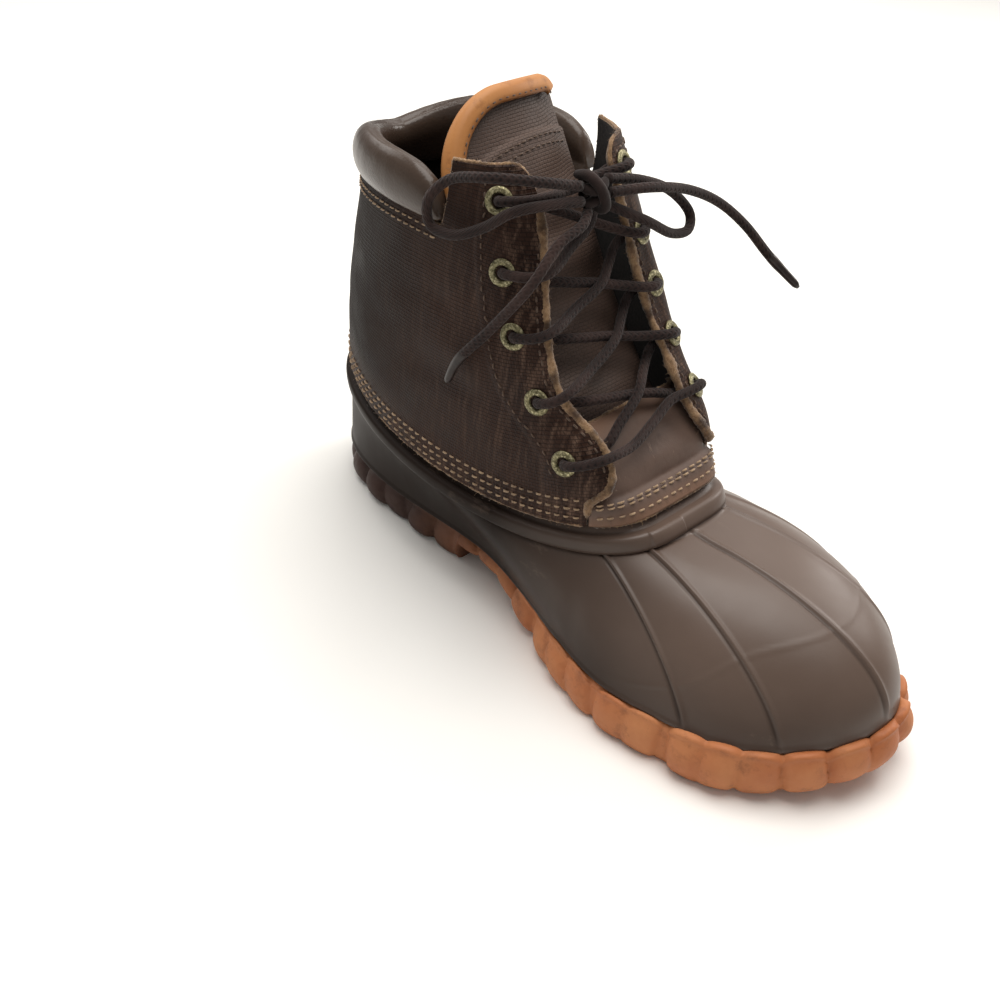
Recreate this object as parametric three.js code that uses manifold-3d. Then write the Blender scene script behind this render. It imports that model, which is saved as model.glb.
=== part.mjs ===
// Winter boot for a left foot: a laced leather shaft sewn to a moulded rubber shell on a lumpy rubber sole.
// Millimetres, +Z up. The toe points to -Y and the foot's outer side to +X.
// The origin is on the ground, under the middle of the sole.

import * as THREE from 'three';
import { mergeVertices } from 'three/addons/utils/BufferGeometryUtils.js';
import Module from 'manifold-3d';

const wasm = await Module();
wasm.setup();

// Driving dimensions
const soleLength = 283;
const ballWidth = 114;
const heelWidth = 70;
const shaftWidth = 80;
const shaftHeight = 181;
const heightFall = 2.2;
const instepHeight = 61;
const clearance = 0.3;

// Sole
const toeSpring = 9;
const archRise = 8;
const waistLift = 3.2;
const soleThickness = 9;
const soleLip = 9;
const soleWall = 2.6;
const lumpPitch = 13.5;
const lumpHeight = 1.6;
const grooveDepth = 3.5;
const grooveWidth = 3.2;
const groovePitch = 21;
const heelBreast = 0.664;
const insoleThickness = 3;

// Rubber shell
const shellWall = 3;
const ribHeight = 0.8;
const ribWidth = 3;
const bandStep = 1;
const flangeWall = 2;

// Leather
const leather = 2;
const plugLeather = 1.8;
const plugSink = 7.5;
const backstayWidth = 22;
const backstayStep = 1.6;
const tabLength = 46;
const notchWidth = 4;
const tabSteps = 8;
const tongueWidth = 58;
const tongueShift = -4;
const tongueTaper = 5;
const tongueThickness = 3;
const tongueCorner = 28;
const tongueLateralCorner = 7;
const bindingWidth = 4.6;
const bindingThickness = 1.2;
const collarThickness = 11;
const collarHeight = 19;

// Lacing
const laceDiameter = 3.7;
const eyeletBore = 5.2;
const eyeletBarrel = 6.4;
const eyeletFlange = 10;
const eyeletProud = 1;
const agletLength = 17;
const agletDiameter = 3.9;

// Half widths of the sole over sin(turn), as shares of half of the ball's or the heel's width, and how far
// the shell stands out past the sole's edge in millimetres
const soleOutline = [
  { share: 0, of: ballWidth, medial: 1.22, lateral: 1.12, ledge: -2.9 },
  { share: 0.1, of: ballWidth, medial: 1.28, lateral: 1.16, ledge: -2.4 },
  { share: 0.2, of: ballWidth, medial: 1.18, lateral: 1.13, ledge: -1.6 },
  { share: 0.3, of: ballWidth, medial: 1.1, lateral: 1.1, ledge: -1 },
  { share: 0.4, of: ballWidth, medial: 0.91, lateral: 1, ledge: -0.2 },
  { share: 0.5, of: ballWidth, medial: 0.71, lateral: 0.86, ledge: 1.2 },
  { share: 0.6, of: heelWidth, medial: 0.97, lateral: 1.24, ledge: 2 },
  { share: 0.7, of: heelWidth, medial: 1.02, lateral: 1.22, ledge: 2.2 },
  { share: 0.8, of: heelWidth, medial: 1.18, lateral: 1.31, ledge: 2.2 },
  { share: 0.9, of: heelWidth, medial: 1.4, lateral: 1.51, ledge: 2.2 },
  { share: 1, of: heelWidth, medial: 1.7, lateral: 1.75, ledge: 2.2 },
];

// Heights along the sole: shares of the toe spring, the lift under the waist and the lip of the wall
const soleHeights = [
  { share: 0, spring: 1, lift: 0, lip: 0.72 },
  { share: 0.04, spring: 0.55, lift: 0, lip: 0.8 },
  { share: 0.1, spring: 0.16, lift: 0, lip: 0.95 },
  { share: 0.18, spring: 0, lift: 0, lip: 1 },
  { share: 0.32, spring: 0, lift: 0, lip: 1 },
  { share: 0.44, spring: 0, lift: 0.3, lip: 0.8 },
  { share: 0.52, spring: 0, lift: 1, lip: 0.5 },
  { share: 0.64, spring: 0, lift: 1, lip: 0.42 },
  { share: 0.8, spring: 0, lift: 0.7, lip: 0.38 },
  { share: 1, spring: 0, lift: 0.6, lip: 0.42 },
];

// Rings of the leather shaft from the rim of the shell up: rise is the share of the way up; front and
// back are shares of the sole's length from the toe; centre and width are shares of the shaft's width;
// the heights are shares of the shaft's height; blunt and round say how square the two ends are
const shaftRings = [
  {
    rise: 0, front: 0.329, back: 0.992, centre: -0.07, width: 0.5,
    frontHeight: 0.337, sideHeight: 0.243, backHeight: 0.293, blunt: 2.3, round: 1.1,
  },
  {
    rise: 0.22, front: 0.396, back: 0.988, centre: -0.075, width: 0.51,
    frontHeight: 0.486, sideHeight: 0.403, backHeight: 0.442, blunt: 4.5, round: 1.05,
  },
  {
    rise: 0.38, front: 0.452, back: 0.981, centre: -0.075, width: 0.515,
    frontHeight: 0.597, sideHeight: 0.53, backHeight: 0.552, blunt: 4, round: 1,
  },
  {
    rise: 0.55, front: 0.502, back: 0.962, centre: -0.075, width: 0.512,
    frontHeight: 0.702, sideHeight: 0.669, backHeight: 0.674, blunt: 5, round: 1,
  },
  {
    rise: 0.75, front: 0.535, back: 0.94, centre: -0.075, width: 0.5,
    frontHeight: 0.829, sideHeight: 0.84, backHeight: 0.807, blunt: 3.2, round: 1,
  },
  {
    rise: 1, front: 0.592, back: 0.928, centre: -0.075, width: 0.5,
    frontHeight: 1.035, sideHeight: 1.012, backHeight: 0.95, blunt: 2, round: 1,
  },
];

// Fullness of the shell by turn from the toe, in shares of a half turn: 1 is a straight wall
const shellFullness = [
  { share: 0, medial: 2, lateral: 2 },
  { share: 0.16, medial: 1.55, lateral: 2.3 },
  { share: 0.28, medial: 1.45, lateral: 2.15 },
  { share: 0.5, medial: 1.3, lateral: 1.45 },
  { share: 1, medial: 1.3, lateral: 1.3 },
];

// Where the raised ribs of the shell run, as turns from the toe, and how far up the cap line crosses them
const ribTurns = [-0.863, -0.52, 0, 0.52, 0.863];
const capLine = [
  { share: 0, rise: 0.54 },
  { share: 0.165, rise: 0.485 },
  { share: 0.275, rise: 0.32 },
  { share: 0.36, rise: 0.18 },
];

// Front edges of the leather: how far each lies from the middle, as shares of half of the shaft's width
const throatEdges = [
  { rise: 0, medial: 0.82, lateral: 0.82 },
  { rise: 0.13, medial: 0.82, lateral: 0.82 },
  { rise: 0.15, medial: 0.8, lateral: 0.8 },
  { rise: 0.175, medial: 0.7, lateral: 0.68 },
  { rise: 0.22, medial: 0.63, lateral: 0.58 },
  { rise: 0.28, medial: 0.64, lateral: 0.5 },
  { rise: 0.38, medial: 0.76, lateral: 0.49 },
  { rise: 0.46, medial: 0.78, lateral: 0.48 },
  { rise: 0.555, medial: 0.75, lateral: 0.46 },
  { rise: 0.76, medial: 0.62, lateral: 0.4 },
  { rise: 0.865, medial: 0.54, lateral: 0.38 },
  { rise: 1, medial: 0.5, lateral: 0.36 },
];
const lapRise = 0.075;
const lapTopRise = 0.12;
const bandRise = 0.045;
const plugRise = 0.33;
const seamRise = 0.78;
const topRise = { medial: 0.97, lateral: 0.965 };

// Eyelets from the lowest up: for each side the rise, and the distance from the middle as a share of half
// of the shaft's width
const eyeletRows = [
  { medialRise: 0.25, medial: 0.88, lateralRise: 0.3, lateral: 0.71 },
  { medialRise: 0.395, medial: 0.885, lateralRise: 0.44, lateral: 0.68 },
  { medialRise: 0.565, medial: 0.91, lateralRise: 0.59, lateral: 0.65 },
  { medialRise: 0.725, medial: 0.87, lateralRise: 0.75, lateral: 0.6 },
  { medialRise: 0.895, medial: 0.79, lateralRise: 0.905, lateral: 0.56 },
];

// The tongue's middle line, as shares of the sole's length from the toe and of the shaft's height
const tongueLine = [
  { share: 0, back: 0.44, height: 0.497 },
  { share: 0.114, back: 0.477, height: 0.5525 },
  { share: 0.343, back: 0.544, height: 0.674 },
  { share: 0.57, back: 0.601, height: 0.807 },
  { share: 0.797, back: 0.657, height: 0.939 },
  { share: 1, back: 0.707, height: 1.075 },
];

// The padded collar's section, as shares of its thickness outwards and of its height upwards
const collarSection = [
  { out: 0.02, up: 0.015 },
  { out: 0.27, up: 0.26 },
  { out: 0.33, up: 0.56 },
  { out: 0.18, up: 0.85 },
  { out: -0.17, up: 1 },
  { out: -0.56, up: 0.93 },
  { out: -0.76, up: 0.64 },
  { out: -0.72, up: 0.24 },
  { out: -0.55, up: -0.25 },
  { out: -0.22, up: -0.29 },
  { out: -0.22, up: 0.015 },
];

// How high and thick the collar is, by share of the way from the tab to the back of the heel
const collarSwell = [
  { share: 0, high: 0.9, thick: 0.72 },
  { share: 0.06, high: 1, thick: 0.75 },
  { share: 0.3, high: 1, thick: 0.85 },
  { share: 0.6, high: 1.02, thick: 1 },
  { share: 1, high: 0.8, thick: 1 },
];

const halfBall = ballWidth / 2;
const halfShaft = shaftWidth / 2;
const toeEnd = -soleLength / 2;

// A smooth curve through the values that stand at the knots.
function smoothThrough(knots, values, at) {
  const last = knots.length - 1;
  const slope = (k) => {
    const before = Math.max(k - 1, 0);
    const after = Math.min(k + 1, last);
    return (values[after] - values[before]) / (knots[after] - knots[before]);
  };
  let k = 0;
  while (k < last - 1 && at > knots[k + 1]) {
    k += 1;
  }
  const gap = knots[k + 1] - knots[k];
  const s = (at - knots[k]) / gap;
  const rise = s * s * (3 - 2 * s);
  const leave = s * (1 - s) * (1 - s);
  const arrive = s * s * (s - 1);
  return values[k] + (values[k + 1] - values[k]) * rise + gap * (slope(k) * leave + slope(k + 1) * arrive);
}

function readTable(table, column, at, knot = 'share') {
  return smoothThrough(table.map((row) => row[knot]), table.map((row) => row[column]), at);
}

function lerp(a, b, share) {
  return a + (b - a) * share;
}

function easeBetween(start, end, at) {
  const s = THREE.MathUtils.clamp((at - start) / (end - start), 0, 1);
  return s * s * (3 - 2 * s);
}

// The sole's edge seen from above. A turn of 0 is the toe, a positive one the outer side.
function soleShare(turn) {
  return (1 - Math.cos(turn)) / 2;
}

function soleEdge(turn) {
  const share = soleShare(turn);
  const column = Math.sin(turn) < 0 ? 'medial' : 'lateral';
  const widths = soleOutline.map((row) => (row.of * row[column]) / 2);
  const half = smoothThrough(soleOutline.map((row) => row.share), widths, share);
  return new THREE.Vector2(Math.sin(turn) * half, toeEnd + share * soleLength);
}

function soleInset(turn, inset) {
  const step = 0.01;
  const along = soleEdge(turn + step).sub(soleEdge(turn - step)).normalize();
  return soleEdge(turn).add(new THREE.Vector2(-along.y, along.x).multiplyScalar(inset));
}

function bottomHeight(share) {
  const arch = share < heelBreast ? easeBetween(0.45, 0.56, share) : 0;
  return toeSpring * Math.max(readTable(soleHeights, 'spring', share), 0) + archRise * arch;
}

function floorHeight(share) {
  const spring = toeSpring * Math.max(readTable(soleHeights, 'spring', share), 0);
  return spring + soleThickness + waistLift * readTable(soleHeights, 'lift', share);
}

function wallTop(share) {
  return floorHeight(share) + soleLip * readTable(soleHeights, 'lip', share);
}

function shellFoot(share) {
  return wallTop(share) + 2 * clearance;
}

function soleRingPoint(turn, inset, height) {
  const edge = soleInset(turn, inset);
  return new THREE.Vector3(edge.x, edge.y, height(soleShare(turn)));
}

// The outside of the leather shaft
function ringPoint(ring, turn) {
  const spread = Math.abs(Math.sin(turn));
  const forward = Math.cos(turn) > 0;
  const square = forward ? ring.blunt : ring.round;
  const bow = Math.sqrt(Math.max(1 - spread ** (2 * square), 0));
  const depth = forward ? (1 - bow) / 2 : (1 + bow) / 2;
  const end = forward ? ring.frontHeight : ring.backHeight;
  const height = lerp(ring.sideHeight, end, Math.abs(1 - 2 * depth) ** (forward ? heightFall : 2));
  return new THREE.Vector3(
    shaftWidth * (ring.centre + ring.width * Math.sin(turn)),
    toeEnd + soleLength * lerp(ring.front, ring.back, depth),
    shaftHeight * height,
  );
}

const ringRises = shaftRings.map((ring) => ring.rise);

function shaftPoint(turn, rise) {
  const points = shaftRings.map((ring) => ringPoint(ring, turn));
  return new THREE.Vector3(
    smoothThrough(ringRises, points.map((p) => p.x), rise),
    smoothThrough(ringRises, points.map((p) => p.y), rise),
    smoothThrough(ringRises, points.map((p) => p.z), rise),
  );
}

// The outside of the rubber shell, from the sole's wall up to its rim
const rimLift = instepHeight / (shaftHeight * shaftRings[0].frontHeight);

function shellPoint(turn, rise) {
  const climb = (THREE.MathUtils.clamp(rise, 0, 1) * Math.PI) / 2;
  const foot = soleRingPoint(turn, -readTable(soleOutline, 'ledge', soleShare(turn)), shellFoot);
  const rim = shaftPoint(turn, 0);
  const around = Math.abs(Math.atan2(Math.sin(turn), Math.cos(turn))) / Math.PI;
  const fullness = readTable(shellFullness, Math.sin(turn) < 0 ? 'medial' : 'lateral', around);
  const inward = 1 - Math.cos(climb) ** (2 / fullness);
  const upward = Math.sin(climb) ** (2 / fullness);
  return new THREE.Vector3(
    lerp(foot.x, rim.x, inward),
    lerp(foot.y, rim.y, inward),
    lerp(foot.z, rim.z * rimLift, upward),
  );
}

// A point that stands off a surface along its outward normal
function standOff(surface, turn, rise, out) {
  const step = 0.004;
  const around = surface(turn + step, rise).sub(surface(turn - step, rise));
  const up = surface(turn, rise + step).sub(surface(turn, rise - step));
  return surface(turn, rise).addScaledVector(around.cross(up).normalize(), out);
}

// Closed meshes
function closedGeometry(points, faces) {
  const positions = points.flatMap((p) => [p.x, p.y, p.z]);
  let volume = 0;
  for (const [a, b, c] of faces) {
    volume += points[a].dot(new THREE.Vector3().crossVectors(points[b], points[c]));
  }
  const turned = volume < 0 ? faces.map(([a, b, c]) => [a, c, b]) : faces;
  const geometry = new THREE.BufferGeometry();
  geometry.setAttribute('position', new THREE.Float32BufferAttribute(positions, 3));
  geometry.setIndex(turned.flat());
  return geometry;
}

function bandFaces(first, second, count) {
  const faces = [];
  for (let i = 0; i < count; i += 1) {
    const next = (i + 1) % count;
    faces.push([first + i, first + next, second + next], [first + i, second + next, second + i]);
  }
  return faces;
}

// Rungs across a ring whose points lie in pairs, left and right of the middle line
function rungFaces(first, count, up) {
  const half = count / 2;
  const faces = [];
  for (let i = 0; i < half; i += 1) {
    const a = first + i;
    const b = first + i + 1;
    const c = first + ((count - i - 1) % count);
    const d = first + ((count - i) % count);
    if (i < half - 1) {
      faces.push([a, b, c]);
    }
    if (i > 0) {
      faces.push([a, c, d]);
    }
    if (i === half - 1) {
      faces.push([a, b, c].filter((p, k, all) => all.indexOf(p) === k));
    }
  }
  const whole = faces.filter((face) => new Set(face).size === 3);
  return up ? whole : whole.map(([a, b, c]) => [a, c, b]);
}

function ringBody(rings) {
  const count = rings[0].length;
  const faces = rings.slice(1).flatMap((_, k) => bandFaces(k * count, (k + 1) * count, count));
  return [rings.flat(), faces, count];
}

function loopOfRings(rings) {
  const [points, faces, count] = ringBody(rings);
  faces.push(...bandFaces((rings.length - 1) * count, 0, count));
  return closedGeometry(points, faces);
}

function stackOfRings(rings) {
  const [points, faces, count] = ringBody(rings);
  faces.push(...rungFaces(0, count, false), ...rungFaces((rings.length - 1) * count, count, true));
  return closedGeometry(points, faces);
}

// A sheet with a front and a back grid, closed round its edges
function sheetOfGrids(front, back) {
  const wide = front.length;
  const high = front[0].length;
  const at = (i, j, behind) => (behind ? wide * high : 0) + i * high + j;
  const faces = [];
  for (let i = 0; i < wide - 1; i += 1) {
    for (let j = 0; j < high - 1; j += 1) {
      const f = [at(i, j, false), at(i + 1, j, false), at(i + 1, j + 1, false), at(i, j + 1, false)];
      const b = [at(i, j, true), at(i + 1, j, true), at(i + 1, j + 1, true), at(i, j + 1, true)];
      faces.push([f[0], f[1], f[2]], [f[0], f[2], f[3]], [b[0], b[2], b[1]], [b[0], b[3], b[2]]);
    }
  }
  const rim = [];
  for (let i = 0; i < wide - 1; i += 1) {
    rim.push([i, 0]);
  }
  for (let j = 0; j < high - 1; j += 1) {
    rim.push([wide - 1, j]);
  }
  for (let i = wide - 1; i > 0; i -= 1) {
    rim.push([i, high - 1]);
  }
  for (let j = high - 1; j > 0; j -= 1) {
    rim.push([0, j]);
  }
  rim.forEach(([i, j], k) => {
    const [m, n] = rim[(k + 1) % rim.length];
    faces.push([at(i, j, false), at(i, j, true), at(m, n, true)], [at(i, j, false), at(m, n, true), at(m, n, false)]);
  });
  return closedGeometry([...front.flat(), ...back.flat()], faces);
}

function toSolid(geometry) {
  const bare = geometry.clone();
  bare.deleteAttribute('normal');
  bare.deleteAttribute('uv');
  const merged = mergeVertices(bare, 1e-4);
  return new wasm.Manifold(new wasm.Mesh({
    numProp: 3,
    vertProperties: new Float32Array(merged.attributes.position.array),
    triVerts: new Uint32Array(merged.index.array),
  }));
}

function toGeometry(solid) {
  const mesh = solid.getMesh();
  const geometry = new THREE.BufferGeometry();
  geometry.setAttribute('position', new THREE.BufferAttribute(mesh.vertProperties, 3));
  geometry.setIndex(new THREE.BufferAttribute(mesh.triVerts, 1));
  return geometry;
}

// Turns at even steps along the sole's edge, in mirrored pairs from the toe
function evenTurns(count) {
  const fine = 720;
  const reach = [0];
  for (let i = 1; i <= fine; i += 1) {
    const a = ((i - 1) * Math.PI) / fine;
    const b = (i * Math.PI) / fine;
    const outer = soleEdge(b).distanceTo(soleEdge(a));
    const inner = soleEdge(-b).distanceTo(soleEdge(-a));
    reach.push(reach[i - 1] + (outer + inner) / 2);
  }
  const half = count / 2;
  const turns = [];
  for (let i = 0; i <= half; i += 1) {
    const wanted = (reach[fine] * i) / half;
    const k = Math.max(reach.findIndex((r) => r >= wanted - 1e-6), 1);
    const part = (wanted - reach[k - 1]) / (reach[k] - reach[k - 1]);
    turns.push(((k - 1 + part) * Math.PI) / fine);
  }
  return turns;
}

function mirrored(turns) {
  const half = turns.length - 1;
  return [...turns, ...turns.slice(1, half).reverse().map((turn) => -turn)];
}

// Outsole: a cup with lumps round its wall, a toe spring, an arch, a heel and grooves underneath
function outsole() {
  const girth = 2 * evenTurnsLength();
  const lumps = Math.round(girth / lumpPitch / 2) * 2;
  const turns = evenTurns(lumps * 3);
  const breastTurn = Math.acos(1 - 2 * heelBreast);
  const atBreast = turns.findIndex((turn) => turn > breastTurn);
  turns[atBreast - 1] = Math.acos(1 - 2 * (heelBreast - 0.003));
  turns[atBreast] = Math.acos(1 - 2 * (heelBreast + 0.003));
  const around = mirrored(turns);
  const lump = (i) => {
    const part = i % 3 === 0 ? 0 : 1;
    return lumpHeight * part * (0.75 + 0.25 * Math.sin(i * 2.3));
  };
  const sag = (i) => (i % 3 === 0 ? 1.3 : 0.25 + 0.25 * Math.sin(i * 1.7));
  const ring = (inset, height) => around.map((turn, i) => {
    const share = soleShare(turn);
    const edge = soleInset(turn, inset(i));
    return new THREE.Vector3(edge.x, edge.y, height(share, i));
  });
  const outer = stackOfRings([
    ring(() => 1.6, (share) => bottomHeight(share)),
    ring((i) => -0.4 * lump(i), (share) => bottomHeight(share) + 2.4),
    ring((i) => -lump(i), (share) => lerp(bottomHeight(share), wallTop(share), 0.55)),
    ring((i) => 0.6 - 0.7 * lump(i), (share, i) => wallTop(share) - 0.8 - sag(i)),
    ring(() => 1.9, (share) => wallTop(share)),
  ]);
  const inside = shellTurns();
  const cavity = stackOfRings([
    inside.map((turn) => soleRingPoint(turn, soleWall, floorHeight)),
    inside.map((turn) => soleRingPoint(turn, soleWall, (share) => wallTop(share) + 5)),
  ]);
  let solid = toSolid(outer).subtract(toSolid(cavity));
  const heelStart = toeEnd + heelBreast * soleLength;
  const toeFlat = toeEnd + 0.13 * soleLength;
  const archStart = toeEnd + 0.46 * soleLength;
  for (let y = toeFlat; y < archStart; y += groovePitch) {
    solid = solid.subtract(toSolid(groove(y, grooveDepth)));
  }
  for (let y = heelStart + groovePitch; y < soleLength / 2 - groovePitch; y += groovePitch) {
    solid = solid.subtract(toSolid(groove(y, grooveDepth)));
  }
  return toGeometry(solid);
}

function evenTurnsLength() {
  let length = 0;
  const fine = 180;
  for (let i = 0; i < fine; i += 1) {
    length += soleEdge((i * Math.PI) / fine).distanceTo(soleEdge(((i + 1) * Math.PI) / fine));
  }
  return length;
}

// One wavy groove across the tread
function groove(y, depth) {
  const reach = halfBall + lumpHeight + 4;
  const waves = 5;
  const swing = 3;
  const line = [];
  for (let i = 0; i <= waves; i += 1) {
    line.push([lerp(-reach, reach, i / waves), i % 2 === 0 ? swing : -swing]);
  }
  const shape = new THREE.Shape();
  line.forEach(([x, off], i) => {
    if (i === 0) {
      shape.moveTo(x, off - grooveWidth / 2);
    } else {
      shape.lineTo(x, off - grooveWidth / 2);
    }
  });
  [...line].reverse().forEach(([x, off]) => shape.lineTo(x, off + grooveWidth / 2));
  const geometry = new THREE.ExtrudeGeometry(shape, { depth: depth + 5, bevelEnabled: false });
  return geometry.translate(0, y, -5);
}

function insole() {
  const around = mirrored(evenTurns(40));
  const inset = soleWall + clearance + shellWall + 2 * clearance;
  return stackOfRings([
    around.map((turn) => soleRingPoint(turn, inset, (share) => floorHeight(share) + clearance)),
    around.map((turn) => soleRingPoint(turn, inset, (share) => floorHeight(share) + clearance + insoleThickness)),
  ]);
}

// Turns round the shell from the toe, in mirrored pairs, with three close together at each rib
function shellTurns() {
  const near = ribWidth / soleLength * Math.PI;
  const even = 22;
  const ribs = ribTurns.filter((rib) => rib >= 0);
  const turns = ribs.flatMap((rib) => [rib - near, rib, rib + near]).filter((turn) => turn >= 0);
  for (let i = 0; i <= even; i += 1) {
    const turn = (i * Math.PI) / even;
    if (ribs.every((rib) => Math.abs(turn - rib) > 2 * near)) {
      turns.push(turn);
    }
  }
  return mirrored(turns.sort((a, b) => a - b));
}

function ribAt(turn) {
  return ribTurns.some((rib) => Math.abs(turn - rib) < 1e-9) ? ribHeight : 0;
}

// The rise of the mesh row that follows the cap line
function capRise(turn, level) {
  const around = Math.abs(turn) / Math.PI;
  const line = readTable(capLine, 'rise', Math.min(around, 0.36));
  const fade = easeBetween(0.36, 0.6, around);
  const middle = lerp(line, 0.5, fade);
  return level < 0.5 ? middle * (level / 0.5) : lerp(middle, 1, (level - 0.5) / 0.5);
}

function rubberShell() {
  const turns = shellTurns();
  const capped = (turn) => (Math.abs(turn) / Math.PI < 0.36 ? 0.7 : 0);
  const onShell = (level, out) => turns.map((turn) => {
    const rib = ribAt(turn) * easeBetween(0, 0.12, level);
    const cap = Math.abs(level - 0.5) < 1e-6 ? capped(turn) : 0;
    return standOff(shellPoint, turn, capRise(turn, level), out + Math.max(rib, cap));
  });
  const onShaft = (rise, out) => turns.map((turn) => standOff(shaftPoint, turn, rise, out));
  const inShell = (level) => turns.map((turn) => standOff(shellPoint, turn, level, -shellWall));
  const footOut = soleWall + clearance;
  const foot = (inset, height) => turns.map((turn) => soleRingPoint(turn, inset, height));
  const seat = (share) => floorHeight(share) + clearance;
  const outside = [0.11, 0.3, 0.5, 0.66, 0.82, 0.93];
  return loopOfRings([
    foot(footOut, seat),
    foot(footOut, (share) => wallTop(share) + clearance),
    onShell(0, 0),
    ...outside.map((level) => onShell(level, 0)),
    turns.map((turn) => standOff(shellPoint, turn, 0.985, ribAt(turn))),
    onShaft(0, bandStep),
    onShaft(bandRise, 0.6 * bandStep),
    onShaft(bandRise + 0.006, -leather - 2 * clearance),
    onShaft(lapTopRise, -leather - 2 * clearance),
    onShaft(lapTopRise, -leather - 2 * clearance - flangeWall),
    onShaft(0.02, -leather - 2 * clearance - flangeWall),
    ...[0.93, 0.6, 0.26].map(inShell),
    foot(footOut + shellWall, wallTop),
    foot(footOut + shellWall, seat),
  ]);
}

// Turn at which the shaft's outside lies the given distance from its middle
function turnAtReach(reach, rise) {
  const half = shaftWidth * smoothThrough(ringRises, shaftRings.map((ring) => ring.width), rise);
  return Math.asin(THREE.MathUtils.clamp(reach / half, -1, 1));
}

function throatTurn(side, rise) {
  return Math.abs(turnAtReach(halfShaft * readTable(throatEdges, side, rise, 'rise'), rise));
}

// Turn at which the shaft's outside lies at the given length
function turnAtLength(y, rise) {
  let low = 0.2;
  let high = Math.PI - 0.1;
  for (let i = 0; i < 40; i += 1) {
    const middle = (low + high) / 2;
    if (shaftPoint(middle, rise).y < y) {
      low = middle;
    } else {
      high = middle;
    }
  }
  return low;
}

function spread(from, to, steps) {
  return Array.from({ length: steps }, (_, i) => lerp(from, to, i / steps));
}

function quarterTurns(rise) {
  const whole = 2 * Math.PI;
  const tab = turnAtLength(tabLength, rise);
  const notch = turnAtLength(tabLength + notchWidth, rise);
  const stay = 0.22;
  return [
    ...spread(-throatTurn('medial', rise), -tab, tabSteps),
    -tab,
    ...spread(-notch, -Math.PI + stay, 6),
    ...spread(-Math.PI + stay, -Math.PI - stay, 5),
    ...spread(-Math.PI - stay, -whole + notch, 6),
    -whole + notch,
    ...spread(-whole + tab, -whole + throatTurn('lateral', rise), tabSteps),
    -whole + throatTurn('lateral', rise),
  ];
}

function backstay(turn, rise) {
  const across = Math.abs(turn + Math.PI) * halfShaft;
  return across < backstayWidth / 2 && rise > lapRise && rise < 0.5 ? backstayStep : 0;
}

function quarters() {
  const levels = [0, 0.06, 0.081, 0.108, 0.157, 0.26, 0.4, 0.56, 0.77, 1];
  const columns = quarterTurns(0).length;
  const top = (i) => {
    if (i <= tabSteps) {
      return topRise.medial;
    }
    return i >= columns - 1 - tabSteps ? topRise.lateral : seamRise;
  };
  const grid = (outside) => Array.from({ length: columns }, (_, i) => levels.map((level) => {
    const rise = lerp(lapRise, top(i), level);
    const turn = quarterTurns(rise)[i];
    return standOff(shaftPoint, turn, rise, outside ? backstay(turn, rise) : -leather);
  }));
  let solid = toSolid(sheetOfGrids(grid(true), grid(false)));
  for (const { at } of eyelets()) {
    const hole = new THREE.CylinderGeometry(
      eyeletBarrel / 2 + 1.3 * clearance, eyeletBarrel / 2 + 1.3 * clearance, 6 * leather, 8,
    );
    solid = solid.subtract(toSolid(hole.applyMatrix4(at)));
  }
  return toGeometry(solid);
}

// Each eyelet's name and place, its own y axis pointing out of the leather
function eyelets() {
  return ['medial', 'lateral'].flatMap((side) => eyeletRows.map((row, k) => {
    const rise = row[`${side}Rise`];
    const turn = turnAtReach((side === 'medial' ? -1 : 1) * halfShaft * row[side], rise);
    const point = shaftPoint(turn, rise);
    const out = standOff(shaftPoint, turn, rise, 1).sub(point);
    const spin = new THREE.Quaternion().setFromUnitVectors(new THREE.Vector3(0, 1, 0), out);
    const at = new THREE.Matrix4().compose(point, spin, new THREE.Vector3(1, 1, 1));
    return { name: `eyelet_${side}_${k + 1}`, at };
  }));
}

function eyelet() {
  const profile = [
    [eyeletBore / 2, eyeletProud + 2 * clearance],
    [eyeletFlange / 2, 0.5 * eyeletProud + 2 * clearance],
    [eyeletFlange / 2, 2 * clearance],
    [eyeletBarrel / 2, 2 * clearance],
    [eyeletBarrel / 2, -leather - 0.4],
    [eyeletBore / 2, -leather - 0.4],
  ];
  const points = [...profile, profile[0]].map(([radius, height]) => new THREE.Vector2(radius, height));
  return new THREE.LatheGeometry(points.reverse(), 8);
}

// The leather piece under the throat, sewn down in front and tucked under the shaft's edges
function vampPlug() {
  const levels = [lapRise, 0.1, 0.12, 0.15, 0.19, 0.26, plugRise];
  const columns = 16;
  const sink = (rise) => -plugSink * (0.4 * easeBetween(0.12, 0.15, rise) + 0.6 * easeBetween(0.15, 0.36, rise));
  const grid = (behind) => Array.from({ length: columns + 1 }, (_, i) => levels.map((rise) => {
    const slack = (2 * clearance) / halfShaft;
    const reach = (side) => throatTurn(side, Math.min(rise, 0.13)) - slack;
    const turn = lerp(-reach('medial'), reach('lateral'), i / columns);
    return standOff(shaftPoint, turn, rise, sink(rise) - behind);
  }));
  return sheetOfGrids(grid(0), grid(plugLeather));
}

// The tongue: across and along are in millimetres on its front face
function tonguePlace(across, along, out) {
  const share = along / tongueLength;
  const line = (s) => new THREE.Vector2(
    toeEnd + soleLength * readTable(tongueLine, 'back', s),
    shaftHeight * readTable(tongueLine, 'height', s),
  );
  const here = line(share);
  const slope = line(share + 0.01).sub(line(share - 0.01)).normalize();
  const hollow = 6 * (across / (tongueWidth / 2)) ** 2;
  return new THREE.Vector3(
    shaftWidth * shaftRings[2].centre + tongueShift + across,
    here.x + hollow * slope.y - out * slope.y,
    here.y - hollow * slope.x + out * slope.x,
  );
}

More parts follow.
